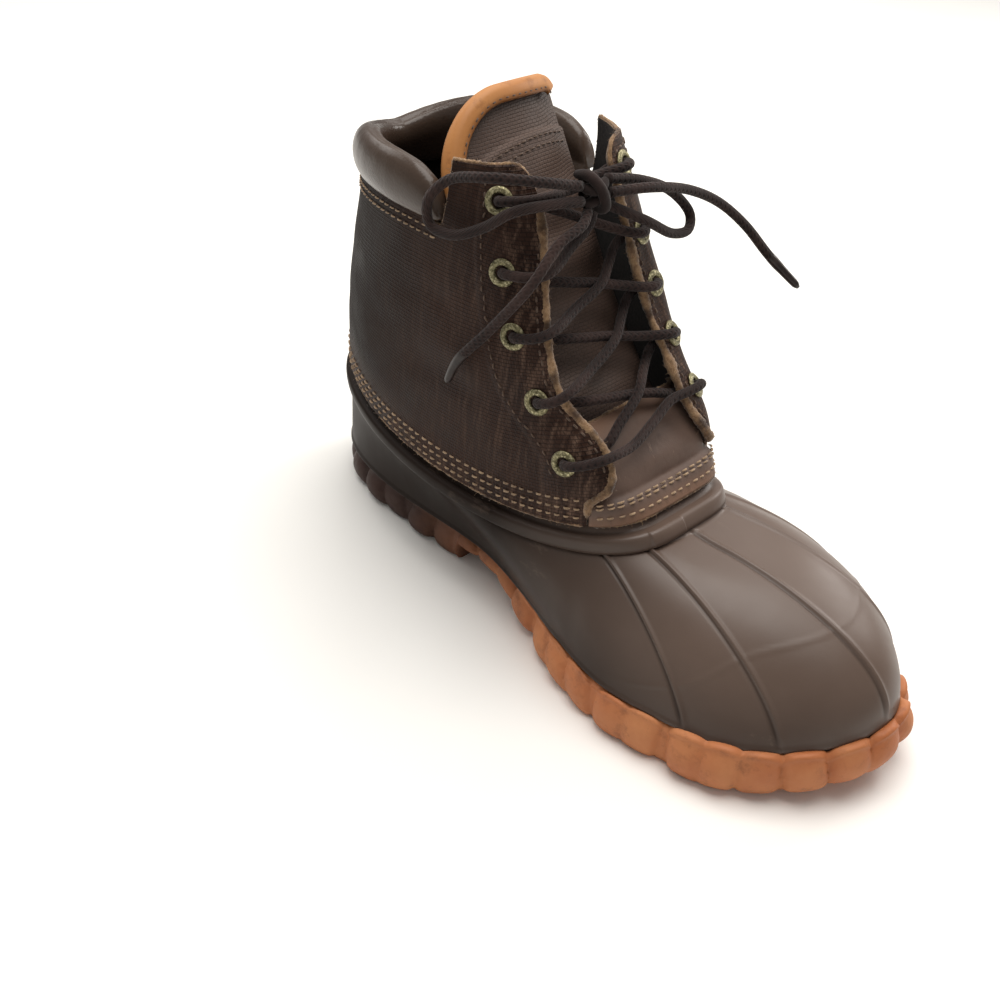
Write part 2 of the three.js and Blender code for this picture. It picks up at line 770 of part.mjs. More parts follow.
function measureTongue() {
  let length = 0;
  for (let i = 0; i < 40; i += 1) {
    const [a, b] = [i / 40, (i + 1) / 40];
    const back = readTable(tongueLine, 'back', b) - readTable(tongueLine, 'back', a);
    const height = readTable(tongueLine, 'height', b) - readTable(tongueLine, 'height', a);
    length += Math.hypot(soleLength * back, shaftHeight * height);
  }
  return length;
}

const tongueLength = measureTongue();

// Outline of the tongue's top from its medial side over to the lateral corner: distances across and along
function tongueEdge(inset, drop, steps) {
  const half = tongueWidth / 2;
  const corner = (side, round, from, to) => Array.from({ length: steps + 1 }, (_, i) => {
    const angle = lerp(from, to, i / steps);
    return [
      side * (half - round) + (round - inset) * Math.cos(angle),
      tongueLength - round + (round - inset) * Math.sin(angle),
    ];
  });
  const top = [0.25, 0.5, 0.75].map((s) => (
    [lerp(tongueCorner - half, half - tongueLateralCorner, s), tongueLength - inset]
  ));
  const side = [drop, lerp(drop, tongueCorner, 0.35), lerp(drop, tongueCorner, 0.7)].map((d) => (
    [inset - half, tongueLength - d]
  ));
  return [
    ...side,
    ...corner(-1, tongueCorner, Math.PI, Math.PI / 2),
    ...top,
    ...corner(1, tongueLateralCorner, Math.PI / 2, 0),
  ];
}

// How far the tongue reaches to one side of its middle
function tongueReach(round, along) {
  const over = Math.min(Math.max((along - tongueLength + round) / round, 0), 1);
  const narrow = tongueTaper * (1 - along / tongueLength) ** 2;
  return tongueWidth / 2 - narrow - round + round * Math.sqrt(1 - over ** 2);
}

function tongue() {
  const straight = [0, 0.13, 0.26, 0.39, 0.52, 0.65, 0.78, 0.9].map((s) => s * (tongueLength - tongueCorner));
  const rounded = Array.from({ length: 8 }, (_, i) => (
    tongueLength - tongueCorner + tongueCorner * Math.sin((i * Math.PI) / 2 / 7)
  ));
  const rows = [...straight, ...rounded];
  const columns = 8;
  const grid = (out) => Array.from({ length: columns + 1 }, (_, i) => rows.map((along) => {
    const medial = -tongueReach(tongueCorner, along);
    const lateral = tongueReach(tongueLateralCorner, along);
    return tonguePlace(lerp(medial, lateral, i / columns), along, out);
  }));
  return sheetOfGrids(grid(0), grid(-tongueThickness));
}

function tongueBinding() {
  const gap = 1.4 * clearance;
  const deep = bindingThickness + gap;
  const section = [
    [bindingWidth, gap], [bindingWidth, deep], [-deep, deep], [-deep, -tongueThickness - deep],
    [bindingWidth, -tongueThickness - deep], [bindingWidth, -tongueThickness - gap],
    [-gap, -tongueThickness - gap], [-gap, gap],
  ];
  const drop = 0.58 * tongueWidth;
  const paths = section.map(([inset]) => tongueEdge(inset, drop, 5));
  const rings = paths[0].map((_, i) => section.map(([, out], k) => tonguePlace(...paths[k][i], out)));
  const count = section.length;
  const [points, faces] = ringBody(rings);
  const last = (rings.length - 1) * count;
  const shut = [[0, 1, 2], [0, 2, 7], [7, 2, 3], [7, 3, 6], [6, 3, 4], [6, 4, 5]];
  faces.push(...shut.map(([a, b, c]) => [a, c, b]), ...shut.map((face) => face.map((k) => k + last)));
  return closedGeometry(points, faces);
}

// The padded collar on the shaft's seam, from tab to tab round the back
function collarPad() {
  const start = turnAtLength(tabLength + notchWidth, seamRise) + 0.03;
  const steps = 24;
  const rings = Array.from({ length: steps + 1 }, (_, i) => {
    const turn = -lerp(start, 2 * Math.PI - start, i / steps);
    const share = 1 - Math.abs(1 - (2 * i) / steps);
    const base = shaftPoint(turn, seamRise);
    const out = standOff(shaftPoint, turn, seamRise, 1).sub(base);
    const up = shaftPoint(turn, seamRise + 0.01).sub(shaftPoint(turn, seamRise - 0.01)).normalize();
    const high = collarHeight * readTable(collarSwell, 'high', share);
    const thick = collarThickness * readTable(collarSwell, 'thick', share);
    return collarSection.map((p) => {
      const outward = p.up < 0.1 ? p.out * collarThickness : p.out * thick;
      return base.clone().addScaledVector(out, outward).addScaledVector(up, p.up * high);
    });
  });
  const [points, faces, count] = ringBody(rings);
  const last = (rings.length - 1) * count;
  for (const [first, flip] of [[0, true], [last, false]]) {
    const centre = new THREE.Vector3();
    for (let k = 0; k < count; k += 1) {
      centre.addScaledVector(points[first + k], 1 / count);
    }
    points.push(centre);
    for (let k = 0; k < count; k += 1) {
      const edge = [first + k, first + ((k + 1) % count)];
      faces.push([points.length - 1, ...(flip ? edge.reverse() : edge)]);
    }
  }
  return closedGeometry(points, faces);
}

// A round cord through points
function cord(points, diameter, steps) {
  const section = new THREE.Shape();
  const sides = 8;
  for (let i = 0; i < sides; i += 1) {
    const angle = (i * 2 * Math.PI) / sides;
    const [x, y] = [(Math.cos(angle) * diameter) / 2, (Math.sin(angle) * diameter) / 2];
    if (i === 0) {
      section.moveTo(x, y);
    } else {
      section.lineTo(x, y);
    }
  }
  const path = new THREE.CatmullRomCurve3(points, false, 'centripetal');
  return new THREE.ExtrudeGeometry(section, { steps, extrudePath: path, bevelEnabled: false });
}

// A point over the throat: distance from the middle as a share of half of the shaft's width
function overThroat(across, rise, out) {
  return standOff(shaftPoint, turnAtReach(across * halfShaft, rise), rise, out);
}

const laceOver = eyeletProud + 2 * clearance + laceDiameter / 2 + 1.2;
const laceUnder = -leather - laceDiameter / 2 - 1.6;

function laceBar() {
  const [low] = eyeletRows;
  const half = [[1, laceOver], [0.9, laceOver], [0.72, laceOver - 0.6], [0.4, 2.2]];
  const places = [
    ...half.map(([across, out]) => [-across * low.medial, low.medialRise, out]),
    [0, (low.medialRise + low.lateralRise) / 2, 1.6],
    ...[...half].reverse().map(([across, out]) => [across * low.lateral, low.lateralRise, out]),
  ];
  return cord(places.map((place) => overThroat(...place)), laceDiameter, 9);
}

// Two strands that cross between a row and the next one
function laceCross(k) {
  const [low, high] = [eyeletRows[k], eyeletRows[k + 1]];
  const strand = (from, to, lift) => {
    const [start, end] = [low[`${from}Rise`], high[`${to}Rise`]];
    const lowEdge = readTable(throatEdges, from, start, 'rise');
    const highEdge = readTable(throatEdges, to, end, 'rise');
    const first = k === 0
      ? [[-0.86 * lowEdge, 0.12, -3.2], [-0.5 * lowEdge, 0.28, -1.6]]
      : [
        [-low[from], 0, laceOver], [-0.5 * (low[from] + lowEdge), 0.03, laceOver + 0.3],
        [-0.97 * lowEdge, 0.08, laceOver - 0.4], [-0.5 * lowEdge, 0.28, 0],
      ];
    const places = [
      ...first,
      [0, 0.5, lift],
      [0.5 * highEdge, 0.74, -3.4],
      [0.9 * highEdge, 0.92, laceUnder],
      [0.5 * (high[to] + highEdge), 0.98, laceUnder - 0.4],
    ];
    const side = from === 'medial' ? 1 : -1;
    return cord(
      places.map(([across, part, out]) => overThroat(side * across, lerp(start, end, part), out)),
      laceDiameter,
      6,
    );
  };
  return toGeometry(toSolid(strand('medial', 'lateral', -0.6)).add(toSolid(strand('lateral', 'medial', -2.4))));
}

// The two leads from the top eyelets meet behind the knot
function laceLeads() {
  const high = eyeletRows[4];
  const lead = (side) => {
    const rise = high[`${side}Rise`];
    const edge = readTable(throatEdges, side, rise, 'rise');
    return [
      [high[side], rise, laceOver], [0.5 * (high[side] + edge), rise, laceOver + 0.2],
      [0.97 * edge, rise, laceOver - 0.6], [0.5 * edge, rise, 0.6],
    ];
  };
  const places = [
    ...lead('medial').map(([across, rise, out]) => [-across, rise, out]),
    [0, high.medialRise, -0.6],
    ...lead('lateral').reverse(),
  ];
  return cord(places.map((place) => overThroat(...place)), laceDiameter, 10);
}

// The bow's points, chosen by hand
const knotCentre = [-9, 12, 172];
const knotSize = [12.4, 10.4, 13.6];
const loopMedial = [
  [-15.3, 12, 175.6], [-32, 14, 180.5], [-46, 24.3, 182.1], [-47.5, 43.5, 175], [-51.5, 48.6, 167.3],
  [-50.5, 48.5, 158], [-49.5, 38.3, 157.6], [-46, 26.2, 163.8], [-42, 17, 171.5], [-28, 11.5, 172.6],
  [-15.6, 10.5, 170.6],
];
const loopLateral = [
  [-2.9, 11.5, 175.5], [14, 10, 171], [30, 8.5, 163], [38, 5, 153.4], [34.5, 2, 149.6],
  [25.5, 1.5, 150.5], [10, 2.5, 159.5], [-4.1, 10.4, 167],
];
const endMedial = [
  [-12.8, 9.8, 166.4], [-19, 6.2, 164.5], [-31, 5.4, 161], [-42, 5.2, 150.5], [-48, 18.7, 128.8],
  [-51.5, 31, 111.9], [-52, 35.9, 100.9],
];
const endLateral = [
  [-3.6, 8.6, 171.6], [12, 3.6, 171], [34, 3.6, 164.3], [50, 1, 155.9], [60, -4.8, 146.4], [68, -12.7, 134.3],
  [76, -23, 122.7],
];

function knot() {
  return new THREE.SphereGeometry(0.5, 10, 7).scale(...knotSize).translate(...knotCentre);
}

function vectors(points) {
  return points.map((p) => new THREE.Vector3(...p));
}

// A loose end: the cord stops where its tip begins
function endPieces(points) {
  const path = new THREE.CatmullRomCurve3(vectors(points), false, 'centripetal');
  const length = path.getLength();
  const share = 1 - agletLength / length;
  const cut = (from, to, steps) => Array.from({ length: steps + 1 }, (_, i) => (
    path.getPointAt(lerp(from, to, i / steps))
  ));
  const gap = clearance / length;
  return {
    lace: cord(cut(0, share, 10), laceDiameter, 12),
    aglet: cord(cut(share + gap, 1, 3), agletDiameter, 3),
  };
}

const finishes = {
  soleRubber: { color: 0xb5562d, roughness: 0.62, metalness: 0 },
  shellRubber: { color: 0x46352c, roughness: 0.42, metalness: 0 },
  darkLeather: { color: 0x3a2a22, roughness: 0.68, metalness: 0 },
  plugLeather: { color: 0x5a4030, roughness: 0.72, metalness: 0 },
  bindingLeather: { color: 0xb06a2a, roughness: 0.55, metalness: 0 },
  collarLeather: { color: 0x35261f, roughness: 0.5, metalness: 0 },
  insoleFelt: { color: 0x4a4038, roughness: 0.95, metalness: 0 },
  brass: { color: 0x6f6445, roughness: 0.4, metalness: 0.9 },
  laceCord: { color: 0x2e1f1c, roughness: 0.9, metalness: 0 },
  tip: { color: 0x5a4c46, roughness: 0.35, metalness: 0 },
};

function piece(name, geometry, finish) {
  const mesh = new THREE.Mesh(geometry, new THREE.MeshStandardMaterial(finishes[finish]));
  mesh.name = name;
  return mesh;
}

const boot = new THREE.Group();
boot.add(
  piece('outsole', outsole(), 'soleRubber'),
  piece('insole', insole(), 'insoleFelt'),
  piece('rubber_shell', rubberShell(), 'shellRubber'),
  piece('quarters', quarters(), 'darkLeather'),
  piece('vamp_plug', vampPlug(), 'plugLeather'),
  piece('tongue', tongue(), 'plugLeather'),
  piece('tongue_binding', tongueBinding(), 'bindingLeather'),
  piece('collar_pad', collarPad(), 'collarLeather'),
);

for (const { name, at } of eyelets()) {
  const ring = piece(name, eyelet(), 'brass');
  ring.applyMatrix4(at);
  boot.add(ring);
}

const lacing = new THREE.Group();
lacing.add(piece('lace_bar', laceBar(), 'laceCord'), piece('lace_leads', laceLeads(), 'laceCord'));
for (let k = 0; k < eyeletRows.length - 1; k += 1) {
  lacing.add(piece(`lace_cross_${k + 1}`, laceCross(k), 'laceCord'));
}
boot.add(lacing);

const bow = new THREE.Group();
bow.add(
  piece('lace_knot', knot(), 'laceCord'),
  piece('lace_loop_medial', cord(vectors(loopMedial), laceDiameter, 15), 'laceCord'),
  piece('lace_loop_lateral', cord(vectors(loopLateral), laceDiameter, 12), 'laceCord'),
);
for (const [side, points] of [['medial', endMedial], ['lateral', endLateral]]) {
  const { lace, aglet } = endPieces(points);
  bow.add(piece(`lace_end_${side}`, lace, 'laceCord'), piece(`aglet_${side}`, aglet, 'tip'));
}
boot.add(bow);

export default boot;
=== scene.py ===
import math

import bpy
import numpy as np
from mathutils import Matrix


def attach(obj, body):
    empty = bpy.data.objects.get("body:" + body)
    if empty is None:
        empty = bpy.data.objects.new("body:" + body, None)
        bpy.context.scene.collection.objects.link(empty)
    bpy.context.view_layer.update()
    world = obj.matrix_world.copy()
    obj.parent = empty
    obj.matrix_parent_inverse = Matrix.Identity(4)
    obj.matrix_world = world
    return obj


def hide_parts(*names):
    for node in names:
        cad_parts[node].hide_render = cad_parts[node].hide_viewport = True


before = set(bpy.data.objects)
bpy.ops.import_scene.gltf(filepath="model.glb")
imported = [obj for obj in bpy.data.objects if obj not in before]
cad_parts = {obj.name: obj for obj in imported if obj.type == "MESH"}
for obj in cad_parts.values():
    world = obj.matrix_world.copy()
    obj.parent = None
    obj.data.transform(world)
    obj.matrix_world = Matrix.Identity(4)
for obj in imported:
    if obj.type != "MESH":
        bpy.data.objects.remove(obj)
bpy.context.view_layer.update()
mm = 0.001  # shapes are worked out in millimetres and placed in metres
chance = np.random.default_rng(11)

# camera: taken from the photo, it looks down at the toe and the inner side
cameraView = {
    "place": (-0.32452, -0.26681, 0.35229),
    "right": (0.72995889, -0.68182601, 0.04767921),
    "up": (0.38109419, 0.46392027, 0.7997157),
    "forward": (0.56738632, 0.56558932, -0.59848266),
    "lens": 46.84,
}
lookData = bpy.data.cameras.new("boot_camera")
lookData.lens = cameraView["lens"]
lookData.sensor_width = 36
lookData.clip_start = 0.01
look = bpy.data.objects.new("boot_camera", lookData)
bpy.context.scene.collection.objects.link(look)
turned = Matrix((cameraView["right"], cameraView["up"], [-v for v in cameraView["forward"]])).transposed()
look.matrix_world = Matrix.Translation(cameraView["place"]) @ turned.to_4x4()
bpy.context.scene.camera = look
print("camera set")

# sizes, the same as in the solids
boot = {
    "soleLength": 283, "ballWidth": 114, "heelWidth": 70, "shaftWidth": 80, "shaftHeight": 181,
    "instepHeight": 61, "clearance": 0.3, "heightFall": 2.2,
    "toeSpring": 9, "archRise": 8, "waistLift": 3.2, "soleThickness": 9, "soleLip": 9, "soleWall": 2.6,
    "heelBreast": 0.664, "shellWall": 3, "flangeWall": 2, "leather": 2, "plugLeather": 1.8, "plugSink": 7.5,
    "tongueWidth": 58, "tongueShift": -4, "tongueTaper": 5, "tongueThickness": 3, "tongueCorner": 28,
    "tongueLateralCorner": 7, "bindingWidth": 4.6, "bindingThickness": 1.2,
    "collarThickness": 11, "collarHeight": 19, "tabLength": 46, "notchWidth": 4,
    "laceDiameter": 3.7, "eyeletBore": 5.2, "eyeletBarrel": 6.4, "eyeletFlange": 10, "eyeletProud": 1,
    "agletLength": 17, "agletDiameter": 3.9,
    "lapRise": 0.075, "lapTopRise": 0.12, "plugRise": 0.33, "seamRise": 0.78,
    "topMedial": 0.97, "topLateral": 0.965,
}


def size(name):
    return boot[name]


def columns(names, rows):
    return {name: np.array([row[i] for row in rows], float) for i, name in enumerate(names.split())}


ball, heel = size("ballWidth") / 2, size("heelWidth") / 2
soleOutline = columns("share medial lateral ledge", [
    (0, 1.22 * ball, 1.12 * ball, -2.9), (0.1, 1.28 * ball, 1.16 * ball, -2.4),
    (0.2, 1.18 * ball, 1.13 * ball, -1.6), (0.3, 1.1 * ball, 1.1 * ball, -1),
    (0.4, 0.91 * ball, 1 * ball, -0.2), (0.5, 0.71 * ball, 0.86 * ball, 1.2),
    (0.6, 0.97 * heel, 1.24 * heel, 2), (0.7, 1.02 * heel, 1.22 * heel, 2.2),
    (0.8, 1.18 * heel, 1.31 * heel, 2.2), (0.9, 1.4 * heel, 1.51 * heel, 2.2),
    (1, 1.7 * heel, 1.75 * heel, 2.2)])
soleHeights = columns("share spring lift lip", [
    (0, 1, 0, 0.72), (0.04, 0.55, 0, 0.8), (0.1, 0.16, 0, 0.95), (0.18, 0, 0, 1), (0.32, 0, 0, 1),
    (0.44, 0, 0.3, 0.8), (0.52, 0, 1, 0.5), (0.64, 0, 1, 0.42), (0.8, 0, 0.7, 0.38), (1, 0, 0.6, 0.42)])
shaftRings = columns("rise front back centre width frontHeight sideHeight backHeight blunt round", [
    (0, 0.329, 0.992, -0.07, 0.5, 0.337, 0.243, 0.293, 2.3, 1.1),
    (0.22, 0.396, 0.988, -0.075, 0.51, 0.486, 0.403, 0.442, 4.5, 1.05),
    (0.38, 0.452, 0.981, -0.075, 0.515, 0.597, 0.53, 0.552, 4, 1),
    (0.55, 0.502, 0.962, -0.075, 0.512, 0.702, 0.669, 0.674, 5, 1),
    (0.75, 0.535, 0.94, -0.075, 0.5, 0.829, 0.84, 0.807, 3.2, 1),
    (1, 0.592, 0.928, -0.075, 0.5, 1.035, 1.012, 0.95, 2, 1)])
shellFullness = columns("share medial lateral", [
    (0, 2.4, 2.4), (0.16, 1.65, 2.4), (0.28, 1.45, 2.15), (0.5, 1.3, 1.45), (1, 1.3, 1.3)])
throatEdges = columns("rise medial lateral", [
    (0, 0.82, 0.82), (0.13, 0.82, 0.82), (0.15, 0.8, 0.8), (0.175, 0.7, 0.68), (0.22, 0.63, 0.58),
    (0.28, 0.64, 0.5), (0.38, 0.76, 0.49), (0.46, 0.78, 0.48), (0.555, 0.75, 0.46), (0.76, 0.62, 0.4),
    (0.865, 0.54, 0.38), (1, 0.5, 0.36)])
eyeletRows = columns("medialRise medial lateralRise lateral", [
    (0.25, 0.88, 0.3, 0.71), (0.395, 0.885, 0.44, 0.68), (0.565, 0.91, 0.59, 0.65),
    (0.725, 0.87, 0.75, 0.6), (0.895, 0.79, 0.905, 0.56)])
tongueLine = columns("share back height", [
    (0, 0.44, 0.497), (0.114, 0.477, 0.5525), (0.343, 0.544, 0.674), (0.57, 0.601, 0.807),
    (0.797, 0.657, 0.939), (1, 0.707, 1.075)])
collarSection = [(0.02, 0.015), (0.27, 0.26), (0.33, 0.56), (0.18, 0.85), (-0.17, 1), (-0.56, 0.93),
                 (-0.76, 0.64), (-0.72, 0.24), (-0.55, -0.25), (-0.22, -0.29), (-0.22, 0.015)]
collarSwell = columns("share high thick", [
    (0, 0.9, 0.72), (0.06, 1, 0.75), (0.3, 1, 0.85), (0.6, 1.02, 1), (1, 0.8, 1)])
halfShaft = size("shaftWidth") / 2
toeEnd = -size("soleLength") / 2


# the boot's own surfaces
def smoothThrough(knots, values, at):
    knots, values, at = np.asarray(knots, float), np.asarray(values, float), np.asarray(at, float)
    last = len(knots) - 1
    k = np.clip(np.searchsorted(knots, at, side="left") - 1, 0, last - 1)
    picked = [np.clip(k + step, 0, last) for step in (-1, 0, 1, 2)]

    def read(i):
        return values[i] if values.ndim == 1 else np.take_along_axis(values, i[None], 0)[0]

    v = [read(i) for i in picked]
    x = [knots[i] for i in picked]
    gap = x[2] - x[1]
    s = (at - x[1]) / gap
    leaving = (v[2] - v[0]) / (x[2] - x[0])
    arriving = (v[3] - v[1]) / (x[3] - x[1])
    rise = s * s * (3 - 2 * s)
    return v[1] + (v[2] - v[1]) * rise + gap * (leaving * s * (1 - s) ** 2 + arriving * s * s * (s - 1))


def readTable(table, column, at, knot="share"):
    return smoothThrough(table[knot], table[column], at)


def lerp(a, b, share):
    return a + (b - a) * share


def ease(start, end, at):
    s = np.clip((np.asarray(at, float) - start) / (end - start), 0, 1)
    return s * s * (3 - 2 * s)


def unit(vectors):
    return vectors / np.maximum(np.linalg.norm(vectors, axis=-1, keepdims=True), 1e-9)


def reachOf(line):  # how far along a line each of its points lies
    return np.concatenate([[0], np.cumsum(np.linalg.norm(np.diff(line, axis=0), axis=1))])


def pointsAt(line, reach, at):
    return np.stack([np.interp(at, reach, line[:, k]) for k in range(3)], -1)


def lineLength(line):
    return float(np.linalg.norm(np.diff(line, axis=0), axis=1).sum())


def lengthsAlong(grid, axis):
    steps = np.linalg.norm(np.diff(grid, axis=axis), axis=2)
    return np.concatenate([np.zeros_like(steps.take([0], axis)), np.cumsum(steps, axis)], axis)


def lengthFrom(grid, end):  # how far each point lies from the first or the last column
    reach = lengthsAlong(grid, 1)
    return reach if end == 0 else reach[:, -1:] - reach


def soleShare(turn):
    return (1 - np.cos(turn)) / 2


def bySide(table, turn, at):
    return np.where(np.sin(turn) < 0, readTable(table, "medial", at), readTable(table, "lateral", at))


def soleEdge(turn):
    share = soleShare(turn)
    half = bySide(soleOutline, turn, share)
    return np.stack([np.sin(turn) * half, toeEnd + share * size("soleLength")], -1)


def soleInset(turn, inset):
    along = unit(soleEdge(turn + 0.01) - soleEdge(turn - 0.01))
    side = np.stack([-along[..., 1], along[..., 0]], -1)
    return soleEdge(turn) + side * np.asarray(inset, float)[..., None]


def soleSpring(share):
    return size("toeSpring") * np.maximum(readTable(soleHeights, "spring", share), 0)


def bottomHeight(share):
    arch = np.where(share < size("heelBreast"), ease(0.45, 0.56, share), 0)
    return soleSpring(share) + size("archRise") * arch


def floorHeight(share):
    lift = size("waistLift") * readTable(soleHeights, "lift", share)
    return soleSpring(share) + size("soleThickness") + lift


def wallTop(share):
    return floorHeight(share) + size("soleLip") * readTable(soleHeights, "lip", share)


def soleRing(turn, inset, height):
    edge = soleInset(turn, np.broadcast_to(inset, turn.shape))
    return np.concatenate([edge, np.broadcast_to(height, turn.shape)[..., None]], -1)


def shaftPoint(turn, rise):
    turn, rise = np.broadcast_arrays(np.asarray(turn, float), np.asarray(rise, float))
    ring = {name: column.reshape((-1,) + (1,) * turn.ndim) for name, column in shaftRings.items()}
    forward = np.cos(turn) > 0
    square = np.where(forward, ring["blunt"], ring["round"])
    bow = np.sqrt(np.maximum(1 - np.abs(np.sin(turn)) ** (2 * square), 0))
    depth = np.where(forward, (1 - bow) / 2, (1 + bow) / 2)
    end = np.where(forward, ring["frontHeight"], ring["backHeight"])
    fall = np.abs(1 - 2 * depth) ** np.where(forward, size("heightFall"), 2)
    x = size("shaftWidth") * (ring["centre"] + ring["width"] * np.sin(turn))
    y = toeEnd + size("soleLength") * lerp(ring["front"], ring["back"], depth)
    z = size("shaftHeight") * lerp(ring["sideHeight"], end, fall)
    return np.stack([smoothThrough(shaftRings["rise"], np.broadcast_to(v, (6,) + turn.shape), rise)
                     for v in (x, y, z)], -1)


def shellPoint(turn, rise):
    turn, rise = np.broadcast_arrays(np.asarray(turn, float), np.asarray(rise, float))
    climb = np.clip(rise, 0, 1) * math.pi / 2
    share = soleShare(turn)
    foot = soleRing(turn, -readTable(soleOutline, "ledge", share), wallTop(share) + 2 * size("clearance"))
    rim = shaftPoint(turn, np.zeros_like(turn))
    rim[..., 2] *= size("instepHeight") / (size("shaftHeight") * shaftRings["frontHeight"][0])
    around = np.abs(np.arctan2(np.sin(turn), np.cos(turn))) / math.pi
    power = (2 / bySide(shellFullness, turn, around))[..., None]
    inward = 1 - np.cos(climb)[..., None] ** power
    upward = np.sin(climb)[..., None] ** power
    flat = lerp(foot[..., :2], rim[..., :2], inward)
    return np.concatenate([flat, lerp(foot[..., 2:], rim[..., 2:], upward)], -1)


def normalOf(surface, turn, rise):
    around = surface(turn + 0.004, rise) - surface(turn - 0.004, rise)
    up = surface(turn, rise + 0.004) - surface(turn, rise - 0.004)
    return unit(np.cross(around, up))


def standOff(surface, turn, rise, out):
    turn, rise = np.broadcast_arrays(np.asarray(turn, float), np.asarray(rise, float))
    return surface(turn, rise) + normalOf(surface, turn, rise) * np.asarray(out, float)[..., None]


def turnAtReach(reach, rise):
    half = size("shaftWidth") * smoothThrough(shaftRings["rise"], shaftRings["width"], rise)
    return np.arcsin(np.clip(reach / half, -1, 1))


def throatTurn(side, rise):
    return np.abs(turnAtReach(halfShaft * readTable(throatEdges, side, rise, "rise"), rise))


def turnAtLength(y, rise):
    rise = np.asarray(rise, float)
    low, high = np.full(rise.shape, 0.2), np.full(rise.shape, math.pi - 0.1)
    for _ in range(36):
        middle = (low + high) / 2
        before = shaftPoint(middle, rise)[..., 1] < y
        low, high = np.where(before, middle, low), np.where(before, high, middle)
    return low


def evenTurns(count):  # turns from the toe at even steps along the sole's edge
    fine = np.linspace(0, math.pi, 1441)
    reach = np.zeros_like(fine)
    for side in (1, -1):
        step = np.linalg.norm(np.diff(soleEdge(side * fine), axis=0), axis=1)
        reach[1:] += np.cumsum(step) / 2
    return np.interp(np.linspace(0, reach[-1], count // 2 + 1), reach, fine)


def mirrored(turns):
    return np.concatenate([turns, -turns[1:-1][::-1]])


# Soft noise for the small unevenness of worn leather and rubber
def unevenness(points, scale, seed=0):
    p = points / scale
    total = np.zeros(points.shape[:-1])
    pick = np.random.default_rng(100 + seed)
    for _ in range(7):
        wave, phase = pick.normal(size=3), pick.uniform(0, 6.28)
        total += np.sin(p @ wave + phase)
    return total / 7


# Creases: each is a line of points with a depth and a half width, troughs below zero and ridges above
def creased(points, normals, creases):
    shift = np.zeros(points.shape[:-1])
    for line, deep, wide in creases:
        line = np.asarray(line, float)
        nearest = np.full(points.shape[:-1], 1e9)
        fade = np.zeros(points.shape[:-1])
        for i in range(len(line) - 1):
            way = line[i + 1] - line[i]
            s = np.clip(((points - line[i]) @ way) / (way @ way), 0, 1)
            far = np.linalg.norm(points - line[i] - s[..., None] * way, axis=-1)
            place = (i + s) / (len(line) - 1)
            closer = far < nearest
            nearest = np.where(closer, far, nearest)
            fade = np.where(closer, np.sin(np.clip(0.06 + 0.88 * place, 0, 1) * math.pi), fade)
        shift += deep * fade * np.exp(-(nearest / wide) ** 2)
    return points + normals * shift[..., None]


# meshes
def newMesh(name, points, faces, finishes, faceFinish=None, uv=None, tones=None):
    mesh = bpy.data.meshes.new(name)
    mesh.from_pydata((np.asarray(points) * mm).tolist(), [], faces)
    for finish in finishes:
        mesh.materials.append(finish)
    if faceFinish is not None:
        mesh.polygons.foreach_set("material_index", np.asarray(faceFinish, np.int32))
    mesh.polygons.foreach_set("use_smooth", np.full(len(mesh.polygons), True))
    if uv is not None:
        corners = np.empty(len(mesh.loops), np.int32)
        mesh.loops.foreach_get("vertex_index", corners)
        mesh.uv_layers.new(name="along").data.foreach_set("uv", (np.asarray(uv) * mm)[corners].ravel())
    for tone, values in (tones or {}).items():
        mesh.attributes.new(tone, "FLOAT", "POINT").data.foreach_set("value", np.asarray(values, np.float32))
    mesh.validate()
    made = bpy.data.objects.new(name, mesh)
    bpy.context.scene.collection.objects.link(made)
    return made


def gridFaces(high, wide, start=0, wrap=False, flip=False):
    i, j = np.meshgrid(np.arange(high - 1), np.arange(wide if wrap else wide - 1), indexing="ij")
    k = (j + 1) % wide
    quads = np.stack([i * wide + j, i * wide + k, (i + 1) * wide + k, (i + 1) * wide + j], -1)
    quads = quads.reshape(-1, 4) + start
    return (quads[:, ::-1] if flip else quads).tolist()


def lengthsOf(grid):  # how far along the rows and up the columns each point lies, in millimetres
    along = lengthsAlong(grid, 1)
    along -= along.mean(1, keepdims=True)
    return np.stack([along, lengthsAlong(grid, 0)], -1).reshape(-1, 2)


# A sheet with an outside, an inside and a cut edge; its rows go up and its columns go round
def sheetMesh(name, outer, inner, finishes, tones, uv=None):
    high, wide = outer.shape[:2]
    count = high * wide
    faces = gridFaces(high, wide) + gridFaces(high, wide, count, flip=True)
    finish = [0] * (len(faces) // 2) + [1] * (len(faces) // 2)
    rims = [range(wide), range(count - 1, count - wide - 1, -1),
            range(wide - 1, count, wide), range(count - wide, -1, -wide)]
    for rim in rims:
        for a, b in zip(rim, rim[1:]):
            faces.append([a, a + count, b + count, b])
            finish.append(2)
    points = np.concatenate([outer.reshape(-1, 3), inner.reshape(-1, 3)])
    uv = np.concatenate([lengthsOf(outer), lengthsOf(inner)]) if uv is None else np.concatenate([uv, uv])
    doubled = {tone: np.concatenate([v.ravel(), v.ravel()]) for tone, v in tones.items()}
    return newMesh(name, points, faces, finishes, finish, uv, doubled)


# Closed rings stacked into a skin, joined end to end when looped
def loftMesh(name, rings, finishes, looped=False, tones=None, capped=False, rowFinish=None):
    rings = np.asarray(rings)
    high, wide = rings.shape[:2]
    faces = gridFaces(high, wide, 0, True)
    finish = np.repeat(rowFinish if rowFinish is not None else [0] * (high - 1), wide).tolist()
    if looped:
        for j in range(wide):
            k = (j + 1) % wide
            faces.append([(high - 1) * wide + j, (high - 1) * wide + k, k, j])
            finish.append(0)
    if capped:
        faces += [list(range(wide))[::-1], list(range((high - 1) * wide, high * wide))]
        finish += [0, 0]
    return newMesh(name, rings.reshape(-1, 3), faces, finishes, finish, lengthsOf(rings), tones)


